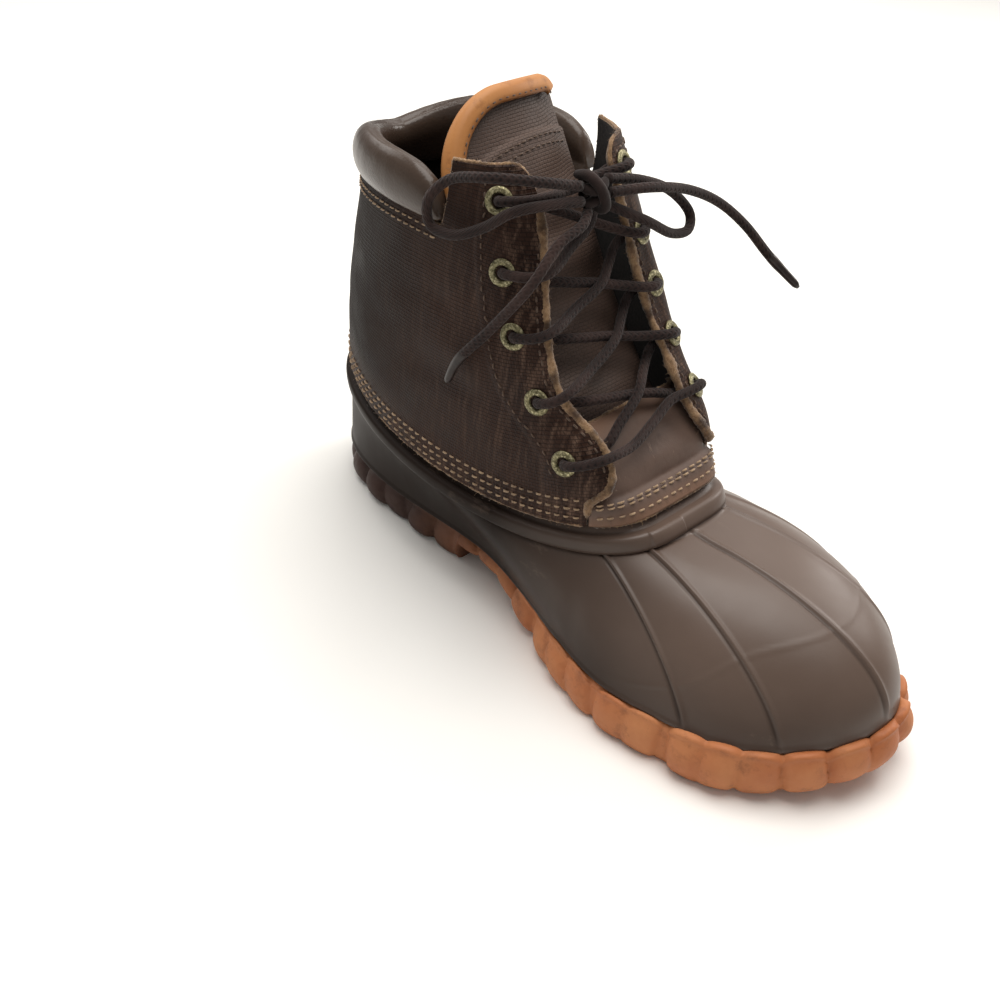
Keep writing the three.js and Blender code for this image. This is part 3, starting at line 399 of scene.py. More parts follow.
def throughPoints(points, count, closed=False):  # an even run of points on a smooth line through a few
    p = np.asarray(points, float)
    before, after = (p[-1:], p[:2]) if closed else (2 * p[:1] - p[1:2], 2 * p[-1:] - p[-2:-1])
    p = np.concatenate([before, p, after])
    line = []
    for i in range(1, len(p) - 2):
        a, b, c, d = p[i - 1:i + 3]
        t = np.cumsum([0] + [max(np.linalg.norm(v), 1e-6) ** 0.5 for v in (b - a, c - b, d - c)])
        at = np.linspace(t[1], t[2], 24, endpoint=False)[:, None]
        ab = (t[1] - at) / (t[1] - t[0]) * a + (at - t[0]) / (t[1] - t[0]) * b
        bc = (t[2] - at) / (t[2] - t[1]) * b + (at - t[1]) / (t[2] - t[1]) * c
        cd = (t[3] - at) / (t[3] - t[2]) * c + (at - t[2]) / (t[3] - t[2]) * d
        abc = (t[2] - at) / (t[2] - t[0]) * ab + (at - t[0]) / (t[2] - t[0]) * bc
        bcd = (t[3] - at) / (t[3] - t[1]) * bc + (at - t[1]) / (t[3] - t[1]) * cd
        line.append((t[2] - at) / (t[2] - t[1]) * abc + (at - t[1]) / (t[2] - t[1]) * bcd)
    line = np.concatenate(line + [p[-2:-1]])
    reach = reachOf(line)
    return pointsAt(line, reach, np.linspace(0, reach[-1], count))


def tubeRings(line, radius, sides=14):
    line = np.asarray(line, float)
    radius = np.broadcast_to(radius, len(line))
    way = unit(np.gradient(line, axis=0))
    side = np.cross(way[0], [0.3, 0.2, 0.93])
    angle = np.linspace(0, 2 * math.pi, sides, endpoint=False)[:, None]
    rings = []
    for i in range(len(line)):
        side = unit(side - way[i] * (side @ way[i]))
        other = np.cross(way[i], side)
        rings.append(line[i] + radius[i] * (np.cos(angle) * side + np.sin(angle) * other))
    return np.array(rings)


def tubeMesh(name, line, diameter, finish):
    return loftMesh(name, tubeRings(line, np.asarray(diameter) / 2), [finish], capped=True)


def ringPart(rings):
    return rings.reshape(-1, 3), gridFaces(rings.shape[0], rings.shape[1], 0, True)


def joined(name, parts, finish, uv=None):  # many small pieces, each of points and faces, as one mesh
    points, faces, start = [], [], 0
    for p, f in parts:
        points.append(p)
        faces += (np.asarray(f) + start).tolist()
        start += len(p)
    return newMesh(name, np.concatenate(points), faces, [finish], None, uv)


# One stitch lies along x, with its ends pulled into the leather
def stitchShape(length, radius):
    sides, steps = 6, np.linspace(-1, 1, 5)
    angle = np.linspace(0, 2 * math.pi, sides, endpoint=False)
    rings = []
    for s in steps:
        wide, dip = radius * (1 - 0.45 * s ** 4), -1.5 * radius * s ** 4
        rings.append(np.stack([np.full(sides, s * length / 2), wide * np.cos(angle),
                               dip + wide * np.sin(angle)], -1))
    return ringPart(np.array(rings))


def stitchRow(line, normals, pitch, length, radius):
    reach = reachOf(line)
    shape, faces = stitchShape(length, radius)
    parts = []
    for at in np.arange(pitch / 2, reach[-1], pitch):
        at += chance.normal(0, 0.04 * pitch)
        way = unit(pointsAt(line, reach, at + 0.6) - pointsAt(line, reach, at - 0.6))
        side = unit(np.cross(pointsAt(normals, reach, at), way))
        turned = np.stack([way, side, np.cross(way, side)])
        uneven = 1 + chance.normal(0, 0.06)
        parts.append((pointsAt(line, reach, at) + uneven * (shape @ turned), faces))
    return parts


# finishes
def fromHex(code):
    parts = [int(code[i:i + 2], 16) / 255 for i in (0, 2, 4)]
    return [p / 12.92 if p <= 0.04045 else ((p + 0.055) / 1.055) ** 2.4 for p in parts] + [1]


class Nodes:
    def __init__(self, name):
        self.finish = bpy.data.materials.new(name)
        self.finish.use_nodes = True
        self.tree = self.finish.node_tree
        self.tree.nodes.clear()
        self.out = self.add("ShaderNodeOutputMaterial")
        self.skin = self.add("ShaderNodeBsdfPrincipled")
        self.join(self.skin.outputs["BSDF"], self.out.inputs["Surface"])

    def add(self, kind, **values):
        node = self.tree.nodes.new(kind)
        for name, value in values.items():
            setattr(node, name, value)
        return node

    def join(self, source, target):
        self.tree.links.new(source, target)

    def give(self, socket, value):
        if hasattr(value, "is_output"):
            self.join(value, socket)
        else:
            socket.default_value = value

    def place(self, kind="Object"):
        return self.add("ShaderNodeTexCoord").outputs[kind]

    def stretched(self, kind, scale):
        node = self.add("ShaderNodeMapping")
        self.join(self.place(kind), node.inputs["Vector"])
        node.inputs["Scale"].default_value = scale
        return node.outputs["Vector"]

    def noise(self, scale, detail=4.0, rough=0.55, where=None):
        node = self.add("ShaderNodeTexNoise")
        self.join(where or self.place(), node.inputs["Vector"])
        node.inputs["Scale"].default_value = scale
        node.inputs["Detail"].default_value = detail
        node.inputs["Roughness"].default_value = rough
        return node.outputs["Fac"]

    def cells(self, scale):
        node = self.add("ShaderNodeTexVoronoi")
        self.join(self.place(), node.inputs["Vector"])
        node.inputs["Scale"].default_value = scale
        return node.outputs["Distance"]

    def sums(self, kind, a, b=0.0, c=0.0):
        node = self.add("ShaderNodeMath", operation=kind)
        for socket, value in zip(node.inputs, (a, b, c)):
            self.give(socket, value)
        return node.outputs[0]

    def span(self, value, low, high, to=(0.0, 1.0)):
        node = self.add("ShaderNodeMapRange")
        self.give(node.inputs["Value"], value)
        node.inputs["From Min"].default_value = low
        node.inputs["From Max"].default_value = high
        node.inputs["To Min"].default_value, node.inputs["To Max"].default_value = to
        return node.outputs["Result"]

    def tone(self, name):
        return self.add("ShaderNodeAttribute", attribute_name=name).outputs["Fac"]

    def blend(self, share, first, second):
        node = self.add("ShaderNodeMix", data_type="RGBA")
        self.give(node.inputs[0], share)
        for socket, colour in ((node.inputs[6], first), (node.inputs[7], second)):
            self.give(socket, fromHex(colour) if isinstance(colour, str) else colour)
        return node.outputs[2]

    def ridge(self, height, strength, distance, below=None):
        node = self.add("ShaderNodeBump")
        node.inputs["Strength"].default_value = strength
        node.inputs["Distance"].default_value = distance * mm
        self.give(node.inputs["Height"], height)
        if below is not None:
            self.join(below, node.inputs["Normal"])
        return node.outputs["Normal"]

    def shell(self, colour, roughness, normal=None, **values):
        self.give(self.skin.inputs["Base Color"], colour)
        self.give(self.skin.inputs["Roughness"], roughness)
        if normal is not None:
            self.join(normal, self.skin.inputs["Normal"])
        for name, value in values.items():
            self.skin.inputs[name.replace("_", " ")].default_value = value
        return self.finish


# heel is the colour of the painted shade at the back of the sole
soleLook = {"base": "b0693f", "light": "c58457", "dark": "6f4430", "heel": "2f1e1a", "roughness": (0.5, 0.78)}


def soleRubber():
    n = Nodes("sole_rubber")
    cloud = n.noise(38, 5)
    colour = n.blend(n.span(cloud, 0.35, 0.7), soleLook["base"], soleLook["light"])
    colour = n.blend(n.span(n.noise(120, 6, 0.7), 0.52, 0.72, (0, 0.55)), colour, soleLook["dark"])
    # painted shade: the sole darkens towards the heel colour
    colour = n.blend(n.tone("wearAndShade"), colour, soleLook["heel"])
    normal = n.ridge(n.noise(260, 4), 0.45, 0.8)
    normal = n.ridge(n.noise(1400, 2), 0.2, 0.15, normal)
    return n.shell(colour, n.span(cloud, 0.3, 0.7, soleLook["roughness"]), normal, Specular_IOR_Level=0.35)


# the deep colour is the colour of the painted shade
shellLook = {"base": "59483e", "light": "66554b", "deep": "0e0a09", "scuff": "7a695c",
             "roughness": (0.33, 0.48), "shine": (0.42, 0.04)}


def shellRubber():
    n = Nodes("shell_rubber")
    cloud = n.noise(14, 4)
    colour = n.blend(n.span(cloud, 0.32, 0.7), shellLook["base"], shellLook["light"])
    # painted shade: the deep tone darkens the rubber towards the deep colour
    colour = n.blend(n.tone("deep"), colour, shellLook["deep"])
    fine = n.noise(9, 8, 0.75, n.stretched("Object", (9, 2.2, 6)))
    scuffs = n.span(fine, 0.62, 0.74, (0, 0.35))
    colour = n.blend(scuffs, colour, shellLook["scuff"])
    rough = n.span(n.noise(30, 5), 0.3, 0.7, shellLook["roughness"])
    rough = n.sums("ADD", rough, n.sums("MULTIPLY", scuffs, 0.35))
    normal = n.ridge(n.noise(900, 3, 0.6), 0.12, 0.12)
    normal = n.ridge(n.noise(55, 3), 0.12, 0.8, normal)
    # less reflection where the painted shade lies
    n.give(n.skin.inputs["Specular IOR Level"], n.span(n.tone("deep"), 0.2, 0.9, shellLook["shine"]))
    return n.shell(colour, rough, normal)


leatherLook = {"base": "2b1b15", "light": "3f2b22", "wearAndShade": "6b5548", "deep": "0f0a08",
               "roughness": (0.42, 0.66), "cell": (2.1, 1.3), "emboss": 0.7, "shine": (0.12, 0.04)}


def embossed(n, cell, strength):  # rows of small pressed cells, as on waxed boot leather
    wide, high = cell
    brick = n.add("ShaderNodeTexBrick", offset=0.5)
    wobble = n.add("ShaderNodeVectorMath", operation="MULTIPLY_ADD")
    drift = n.add("ShaderNodeTexNoise")
    n.join(n.place(), drift.inputs["Vector"])
    drift.inputs["Scale"].default_value = 90
    n.join(drift.outputs["Color"], wobble.inputs[0])
    wobble.inputs[1].default_value = (0.9, 0.9, 0)
    n.join(n.stretched("UV", (1 / (mm * high), 1 / (mm * high), 1)), wobble.inputs[2])
    n.join(wobble.outputs[0], brick.inputs["Vector"])
    for name, value in (("Scale", 1.0), ("Mortar Size", 0.2), ("Mortar Smooth", 1.0), ("Bias", 0.0),
                        ("Brick Width", wide / high), ("Row Height", 1.0)):
        brick.inputs[name].default_value = value
    pressed = n.sums("SUBTRACT", 1.0, brick.outputs["Fac"])
    faded = n.sums("MULTIPLY", pressed, n.span(n.noise(60, 4), 0.35, 0.6, (0.25, 1)))
    normal = n.ridge(faded, strength, 0.3)
    return pressed, n.ridge(n.noise(500, 5, 0.65), 0.3, 0.2, normal)


def bootLeather():
    n = Nodes("dark_leather")
    pressed, normal = embossed(n, leatherLook["cell"], leatherLook["emboss"])
    cloud = n.noise(26, 6, 0.62)
    colour = n.blend(n.span(cloud, 0.35, 0.68), leatherLook["base"], leatherLook["light"])
    streak = n.noise(7, 7, 0.7, n.stretched("Object", (52, 52, 7)))
    rubbed = n.sums("MULTIPLY", n.span(streak, 0.48, 0.7), n.sums("ADD", 0.3, n.tone("wearAndShade")))
    colour = n.blend(n.sums("MULTIPLY", rubbed, 0.8), colour, leatherLook["wearAndShade"])
    colour = n.blend(n.sums("MULTIPLY", n.sums("SUBTRACT", 1.0, pressed), 0.6), colour, leatherLook["deep"])
    # painted shade from the deep tone, towards the heel of the quarters
    colour = n.blend(n.tone("deep"), colour, leatherLook["deep"])
    rough = n.sums("ADD", n.span(cloud, 0.3, 0.7, leatherLook["roughness"]), n.sums("MULTIPLY", rubbed, 0.2))
    # less reflection where the painted shade lies
    n.give(n.skin.inputs["Specular IOR Level"], n.span(n.tone("deep"), 0.2, 0.9, leatherLook["shine"]))
    return n.shell(colour, rough, normal)


plugLook = {"base": "524037", "light": "6a554a", "scratch": "91796a", "dark": "2c201a", "tan": "7d5a41",
            "deep": "120d0b", "roughness": (0.46, 0.7), "cell": (2.4, 1.3), "emboss": 0.6}


def plugLeather(name, cross, shade):
    n = Nodes(name)
    cloud = n.noise(30, 6, 0.6)
    colour = n.blend(n.span(cloud, 0.33, 0.7), plugLook["base"], plugLook["light"])
    lines = n.noise(11, 9, 0.8, n.stretched("Object", (16, 4, 4)))
    scratches = n.span(lines, 0.61, 0.66, (0, 0.5))
    colour = n.blend(scratches, colour, plugLook["scratch"])
    colour = n.blend(n.span(n.noise(70, 3), 0.6, 0.8, (0, 0.6)), colour, plugLook["dark"])
    normal = n.ridge(n.noise(420, 5, 0.65), 0.45, 0.3)
    if cross:  # the tongue is pressed in the same way as the quarters
        pressed, normal = embossed(n, plugLook["cell"], plugLook["emboss"])
        colour = n.blend(n.sums("MULTIPLY", n.sums("SUBTRACT", 1.0, pressed), 0.5), colour, plugLook["dark"])
    colour = n.blend(n.tone("tan"), colour, plugLook["tan"])
    colour = n.blend(shade, colour, plugLook["dark"])
    # painted shade from the deep tone, low on the tongue
    colour = n.blend(n.tone("deep"), colour, plugLook["deep"])
    return n.shell(colour, n.span(cloud, 0.3, 0.7, plugLook["roughness"]), normal, Specular_IOR_Level=0.4)


edgeLook = {"base": "7a5c42", "light": "a98a68", "dark": "3a281d"}


def rawEdge():
    n = Nodes("raw_edge")
    fibres = n.noise(700, 6, 0.8)
    colour = n.blend(n.span(fibres, 0.35, 0.65), edgeLook["base"], edgeLook["light"])
    colour = n.blend(n.span(n.noise(130, 5), 0.44, 0.64, (0, 0.9)), colour, edgeLook["dark"])
    return n.shell(colour, 0.92, n.ridge(fibres, 0.9, 0.6), Sheen_Weight=0.3, Specular_IOR_Level=0.2)


clothLook = {"lining": ("15120f", "2c2622"), "felt": ("2e2823", "564c44")}


def lining():
    n = Nodes("dark_lining")
    cloth = n.noise(900, 4, 0.7)
    colour = n.blend(n.span(cloth, 0.35, 0.65), *clothLook["lining"])
    return n.shell(colour, 0.88, n.ridge(cloth, 0.5, 0.3), Specular_IOR_Level=0.25, Sheen_Weight=0.15)


collarLook = {"base": "3a2d25", "light": "4c3e34", "dark": "221914", "roughness": (0.24, 0.36)}


def collarLeather():
    n = Nodes("collar_leather")
    cloud = n.noise(24, 5)
    colour = n.blend(n.span(cloud, 0.35, 0.7), collarLook["base"], collarLook["light"])
    pores = n.cells(900)
    colour = n.blend(n.span(pores, 0.0, 0.35, (0.35, 0)), colour, collarLook["dark"])
    normal = n.ridge(n.sums("ADD", n.noise(600, 4), pores), 0.22, 0.2)
    normal = n.ridge(n.noise(90, 3), 0.12, 0.6, normal)
    return n.shell(colour, n.span(cloud, 0.3, 0.7, collarLook["roughness"]), normal, Specular_IOR_Level=0.36)


bindingLook = {"base": "a86c35", "light": "ba8049", "dark": "7d4a22", "roughness": (0.42, 0.6)}


def bindingLeather():
    n = Nodes("binding_leather")
    cloud = n.noise(45, 6)
    colour = n.blend(n.span(cloud, 0.3, 0.7), bindingLook["base"], bindingLook["light"])
    colour = n.blend(n.span(n.noise(160, 5, 0.7), 0.56, 0.75, (0, 0.6)), colour, bindingLook["dark"])
    colour = n.blend(n.tone("deep"), colour, bindingLook["dark"])
    normal = n.ridge(n.noise(700, 4), 0.25, 0.2)
    return n.shell(colour, n.span(cloud, 0.3, 0.7, bindingLook["roughness"]), normal, Specular_IOR_Level=0.4)


brassLook = {"base": "928b68", "light": "c6be99", "dark": "3d3927", "roughness": (0.32, 0.62)}


def brass():
    n = Nodes("antique_brass")
    spots = n.noise(900, 6, 0.75)
    colour = n.blend(n.span(spots, 0.35, 0.65), brassLook["dark"], brassLook["base"])
    colour = n.blend(n.span(n.noise(1300, 4), 0.48, 0.68), colour, brassLook["light"])
    normal = n.ridge(spots, 0.7, 0.2)
    return n.shell(colour, n.span(spots, 0.3, 0.7, brassLook["roughness"]), normal, Metallic=0.75)


laceLook = {"base": "2a1d1a", "light": "473530", "dark": "0a0606", "tip": ("1c1513", "332a27"),
            "plaits": 5, "pitch": 2.6, "roughness": 0.86}


def laceCord():  # a round braid: two sets of strands wound against each other
    n = Nodes("lace_cord")
    split = n.add("ShaderNodeSeparateXYZ")
    n.join(n.place("UV"), split.inputs[0])
    around = n.sums("MULTIPLY", split.outputs[0], laceLook["plaits"] * 2 / (size("laceDiameter") * mm))
    along = n.sums("MULTIPLY", split.outputs[1], 2 * math.pi / (laceLook["pitch"] * mm))
    one = n.sums("SINE", n.sums("ADD", along, around))
    two = n.sums("SINE", n.sums("SUBTRACT", along, around))
    weave = n.sums("MAXIMUM", one, two)
    fuzz = n.noise(1800, 4)
    height = n.sums("ADD", n.sums("MULTIPLY", weave, 0.5), n.sums("MULTIPLY", fuzz, 0.5))
    colour = n.blend(n.span(height, -0.3, 0.7), laceLook["dark"], laceLook["base"])
    colour = n.blend(n.span(n.noise(60, 4), 0.45, 0.75, (0, 0.6)), colour, laceLook["light"])
    return n.shell(colour, laceLook["roughness"], n.ridge(height, 0.6, 0.4),
                   Sheen_Weight=0.08, Sheen_Roughness=0.5, Specular_IOR_Level=0.25)


def laceTip():
    n = Nodes("lace_tip")
    colour = n.blend(n.span(n.noise(300, 4), 0.3, 0.7), *laceLook["tip"])
    return n.shell(colour, 0.3, n.ridge(n.noise(260, 3), 0.3, 0.2), Specular_IOR_Level=0.3)


threadLook = {"beige": ("8c7259", "b89c7c"), "brown": ("4a382c", "66503f"), "dirt": "4a392c"}


def thread(kind):
    n = Nodes(kind + "_thread")
    twist = n.noise(1500, 4)
    colour = n.blend(n.span(twist, 0.3, 0.7), *threadLook[kind])
    colour = n.blend(n.span(n.noise(110, 3), 0.5, 0.75, (0, 0.7)), colour, threadLook["dirt"])
    return n.shell(colour, 0.8, n.ridge(twist, 0.5, 0.15), Sheen_Weight=0.2)


def felt():
    n = Nodes("insole_felt")
    wool = n.noise(600, 6, 0.7)
    colour = n.blend(n.span(wool, 0.3, 0.7), *clothLook["felt"])
    return n.shell(colour, 0.95, n.ridge(wool, 0.8, 0.6), Sheen_Weight=0.3)


solid = {"sole": soleRubber(), "shell": shellRubber(), "leather": bootLeather(),
         "plug": plugLeather("plug_leather", False, 0.0), "tongue": plugLeather("tongue_leather", True, 0.35),
         "edge": rawEdge(), "lining": lining(), "collar": collarLeather(), "binding": bindingLeather(),
         "brass": brass(), "lace": laceCord(), "tip": laceTip(), "beige": thread("beige"),
         "brown": thread("brown"), "felt": felt()}
print("finishes made")


def settle(piece, slot, *nodes):
    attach(piece, "root")
    if nodes:
        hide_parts(*nodes)
    return piece


# the bow's free cords, by the same points as the solids
bow = {
    "loopMedial": [(-15.3, 12, 175.6), (-32, 14, 180.5), (-46, 24.3, 182.1), (-47.5, 43.5, 175),
                   (-51.5, 48.6, 167.3), (-50.5, 48.5, 158), (-49.5, 38.3, 157.6), (-46, 26.2, 163.8),
                   (-42, 17, 171.5), (-28, 11.5, 172.6), (-15.6, 10.5, 170.6)],
    "loopLateral": [(-2.9, 11.5, 175.5), (14, 10, 171), (30, 8.5, 163), (38, 5, 153.4), (34.5, 2, 149.6),
                    (25.5, 1.5, 150.5), (10, 2.5, 159.5), (-4.1, 10.4, 167)],
    "endMedial": [(-12.8, 9.8, 166.4), (-19, 6.2, 164.5), (-31, 5.4, 161), (-42, 5.2, 150.5),
                  (-48, 18.7, 128.8), (-51.5, 31, 111.9), (-52, 35.9, 100.9)],
    "endLateral": [(-3.6, 8.6, 171.6), (12, 3.6, 171), (34, 3.6, 164.3), (50, 1, 155.9), (60, -4.8, 146.4),
                   (68, -12.7, 134.3), (76, -23, 122.7)],
    "tipShape": (0.9, 0.98, 1, 1, 0.98, 0.94, 0.9, 0.88, 0.86, 0.85, 0.83, 0.8, 0.72, 0.4),
    "knotRadius": 1.95, "knotSteps": 26,
}


def freeCord(name, points):
    line = throughPoints(points, 60)
    made = tubeMesh(name, line, size("laceDiameter"), solid["lace"])
    settle(made, "lace_cord", name)
    print(name, "is", round(lineLength(line)), "mm long")


for side in ("medial", "lateral"):
    freeCord("lace_loop_" + side, bow["loop" + side.capitalize()])
    whole = throughPoints(bow["end" + side.capitalize()], 90)
    reach = reachOf(whole)
    cut = reach[-1] - size("agletLength")
    tipLine = pointsAt(whole, reach, np.linspace(cut - 1, reach[-1], len(bow["tipShape"])))
    tip = tubeMesh("aglet_" + side, tipLine, size("agletDiameter") * np.array(bow["tipShape"]), solid["tip"])
    settle(tip, "lace_tip", "aglet_" + side)
    freeCord("lace_end_" + side, pointsAt(whole, reach, np.linspace(0, cut, 60)))

knotLines = [  # the wrap over the front, and two turns that lie behind it
    [(-12.5, 17, 177.5), (-12.5, 11, 178.8), (-10.5, 7.4, 175.5), (-8.6, 6.6, 171.5), (-6.6, 7.6, 167.4),
     (-5, 11, 165), (-5, 16, 165.5)],
    [(-14.5, 12, 175), (-11, 9.4, 173.8), (-7, 10, 173.6), (-3.4, 11.6, 175)],
    [(-14, 11, 168.4), (-10.5, 10, 169.4), (-7, 9.6, 170.2), (-3.6, 9.4, 170.8)],
    [(-13.5, 13, 171.5), (-9, 13.4, 172), (-4.4, 13, 171.5)],
]
knotParts = []
for line in knotLines:
    thick = bow["knotRadius"] * (1 - 0.3 * np.abs(np.linspace(-1, 1, bow["knotSteps"])) ** 6)
    knotParts.append(ringPart(tubeRings(throughPoints(line, bow["knotSteps"]), thick)))
settle(joined("lace_knot_wraps", knotParts, solid["lace"]), "lace_cord", "lace_knot")
print("bow made")

# sole
sole = {"stations": 760, "rows": 22, "webSteps": 61,
        "lumpPitch": 15.5, "lumpShift": 3, "lumpHeight": 3.9, "lumpTall": (0.55, 1.12), "lumpSlant": 2,
        "lumpReach": 0.49, "lumpRound": 2.4, "valley": 3, "toeRoll": 2.7, "rollEnds": (0.1, 0.36),
        "grooveDepth": 3.5, "groovePitch": 21, "grooveSwing": 3, "grooveWave": 50, "grooveEdge": (1.1, 2.3),
        "forefoot": (0.12, 0.47), "heelStart": 0.7, "shadeFrom": -15, "shadeTo": 80}


def outsole():
    turns = mirrored(evenTurns(sole["stations"]))
    share = soleShare(turns)
    edge = soleEdge(turns)
    girth = reachOf(edge)
    whole = girth[-1] + np.linalg.norm(edge[0] - edge[-1])
    lumps = round(whole / sole["lumpPitch"])
    shift = chance.uniform(-sole["lumpShift"], sole["lumpShift"], lumps)
    starts = np.linspace(0, whole, lumps, endpoint=False) + shift
    tall = chance.uniform(*sole["lumpTall"], lumps)
    slant = chance.uniform(-sole["lumpSlant"], sole["lumpSlant"], lumps)
    bottom, top = bottomHeight(share), wallTop(share)
    toe = 1 - ease(*sole["rollEnds"], share)  # the lumps roll over the shell's foot at the toe only

    def lumpAt(s):
        gap = np.stack([(girth - starts[k] - slant[k] * (s - 0.5) * 2 + whole / 2) % whole - whole / 2
                        for k in range(lumps)])
        near = np.argmin(np.abs(gap), 0)
        far = np.abs(np.take_along_axis(gap, near[None], 0)[0]) / (sole["lumpPitch"] * sole["lumpReach"])
        return np.sqrt(np.clip(1 - far ** sole["lumpRound"], 0.0, 1)), tall[near]

    rings = [soleRing(turns, 9, bottom), soleRing(turns, 4, bottom), soleRing(turns, 1.6, bottom + 0.1)]
    for s in np.linspace(0.03, 1, sole["rows"]):
        lump, height = lumpAt(s)
        bulge = math.sin(math.pi * min(0.06 + 0.94 * s, 0.9)) ** 0.6
        out = sole["lumpHeight"] * lump * height * bulge + 0.2
        drop = (1 - lump) * sole["valley"]
        lift = toe * (sole["toeRoll"] * lump * height - 0.4)
        z = lerp(bottom + 0.6 * drop * (1 - s), top - drop + lift, s)
        rings.append(soleRing(turns, 1.5 * (1 - bulge) - out, z))
    lump, height = lumpAt(1)
    lift = toe * (sole["toeRoll"] * lump * height + 0.1)
    rings += [soleRing(turns, 0.5, top - (1 - lump) * sole["valley"] + lift),
              soleRing(turns, 1.5, top - 0.5 - 0.5 * (1 - lump) + 0.5 * toe + 0.85 * lift),
              soleRing(turns, size("soleWall") - 0.1, top - 0.4 + 0.4 * toe + 0.8 * lift),
              soleRing(turns, size("soleWall"), floorHeight(share)), soleRing(turns, 12, floorHeight(share))]
    rings = np.array(rings)
    rings[3:-4] += 0.3 * unevenness(rings[3:-4], 4, 3)[..., None] * np.array([1, 1, 0.6])
    rings[..., 2] = np.maximum(rings[..., 2], 0)
    high, wide = rings.shape[:2]
    faces = gridFaces(high, wide, 0, True)
    points = [rings.reshape(-1, 3)]
    start, middle = high * wide, wide // 2
    across = np.linspace(0, 1, sole["webSteps"])[:, None, None]
    for ring, under in ((0, True), (high - 1, False)):  # the tread, and the floor inside
        web = rings[ring][1:middle] * (1 - across) + rings[ring][-1:-middle:-1] * across
        if under:
            x, y = web[..., 0], web[..., 1]
            place = (y - toeEnd) / size("soleLength")
            swing = np.arcsin(np.sin(x * 2 * math.pi / sole["grooveWave"])) * 2 / math.pi
            ballStart, ballEnd = sole["forefoot"]
            flat = ((place > ballStart) & (place < ballEnd)) | (place > sole["heelStart"])
            half = sole["groovePitch"] / 2
            near = np.abs((y - sole["grooveSwing"] * swing + half) % (2 * half) - half)
            web[..., 2] += sole["grooveDepth"] * flat * (1 - ease(*sole["grooveEdge"], near))
        points.append(web.reshape(-1, 3))
        faces += gridFaces(sole["webSteps"], web.shape[1], start, False, under)
        start += sole["webSteps"] * web.shape[1]
    points = np.concatenate(points)
    # painted shade: the sole darkens towards the heel
    wearAndShade = 0.97 * ease(sole["shadeFrom"], sole["shadeTo"], points[:, 1])
    return newMesh("outsole_rubber", points, faces, [solid["sole"]], None, points[:, :2], {"wearAndShade": wearAndShade})


settle(outsole(), "sole_rubber", "outsole")
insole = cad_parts["insole"]
insole.data.materials.clear()
insole.data.materials.append(solid["felt"])
print("sole made")

# rubber shell
# the last two numbers set how strong the painted shade is: over all, and in the shadow lines beside the ribs
shell = {"stations": 800, "rows": 84, "uneven": 0.35, "footRoll": 0.5,
         "ribTurns": (-0.863, -0.52, 0, 0.52, 0.863), "ribHeight": 0.65, "ribWidth": 0.9,
         "ribGroove": 0.5, "grooveWidth": 0.8, "grooveAway": 1.7, "capStep": 0.22, "capWidth": 0.9,
         "bandStep": 1.9, "pad": (-0.5, -0.1), "padStep": 0.9, "paintedShadeMost": 0.86, "grooveShadow": 0.45}
bandShape = [(-0.004, 0.2), (0.0, 0.75), (0.003, 0.96), (0.012, 1.04), (0.022, 1.08), (0.032, 1.02),
             (0.039, 0.85), (0.043, 0.4), (0.046, -0.5)]  # how far the rolled band stands out on its way up
capLine = columns("share rise", [(0, 0.54), (0.165, 0.485), (0.275, 0.32), (0.36, 0.18)])
shellCreases = [  # over the ball of the foot, on the inner side and beside the heel
    ([(-52, -38, 26), (-46, -33, 38), (-36, -30, 48)], -0.9, 5),
    ([(-50, -46, 28), (-44, -42, 40), (-33, -40, 49)], 0.6, 6),
    ([(-20, -62, 57), (0, -58, 60), (20, -60, 55)], -0.6, 7),
    ([(48, -30, 28), (42, -28, 40), (32, -30, 48)], -0.8, 5),
    ([(-36, 78, 24), (-37, 62, 34), (-37, 44, 38)], -0.6, 6),
    ([(-10, -100, 48), (6, -98, 50), (22, -92, 46)], -0.35, 8),
]


def stepLength(turns, rise, turnStep, riseStep):
    there = shellPoint(turns + turnStep, rise + riseStep)
    return np.linalg.norm(there - shellPoint(turns - turnStep, rise - riseStep), axis=-1) / 0.02


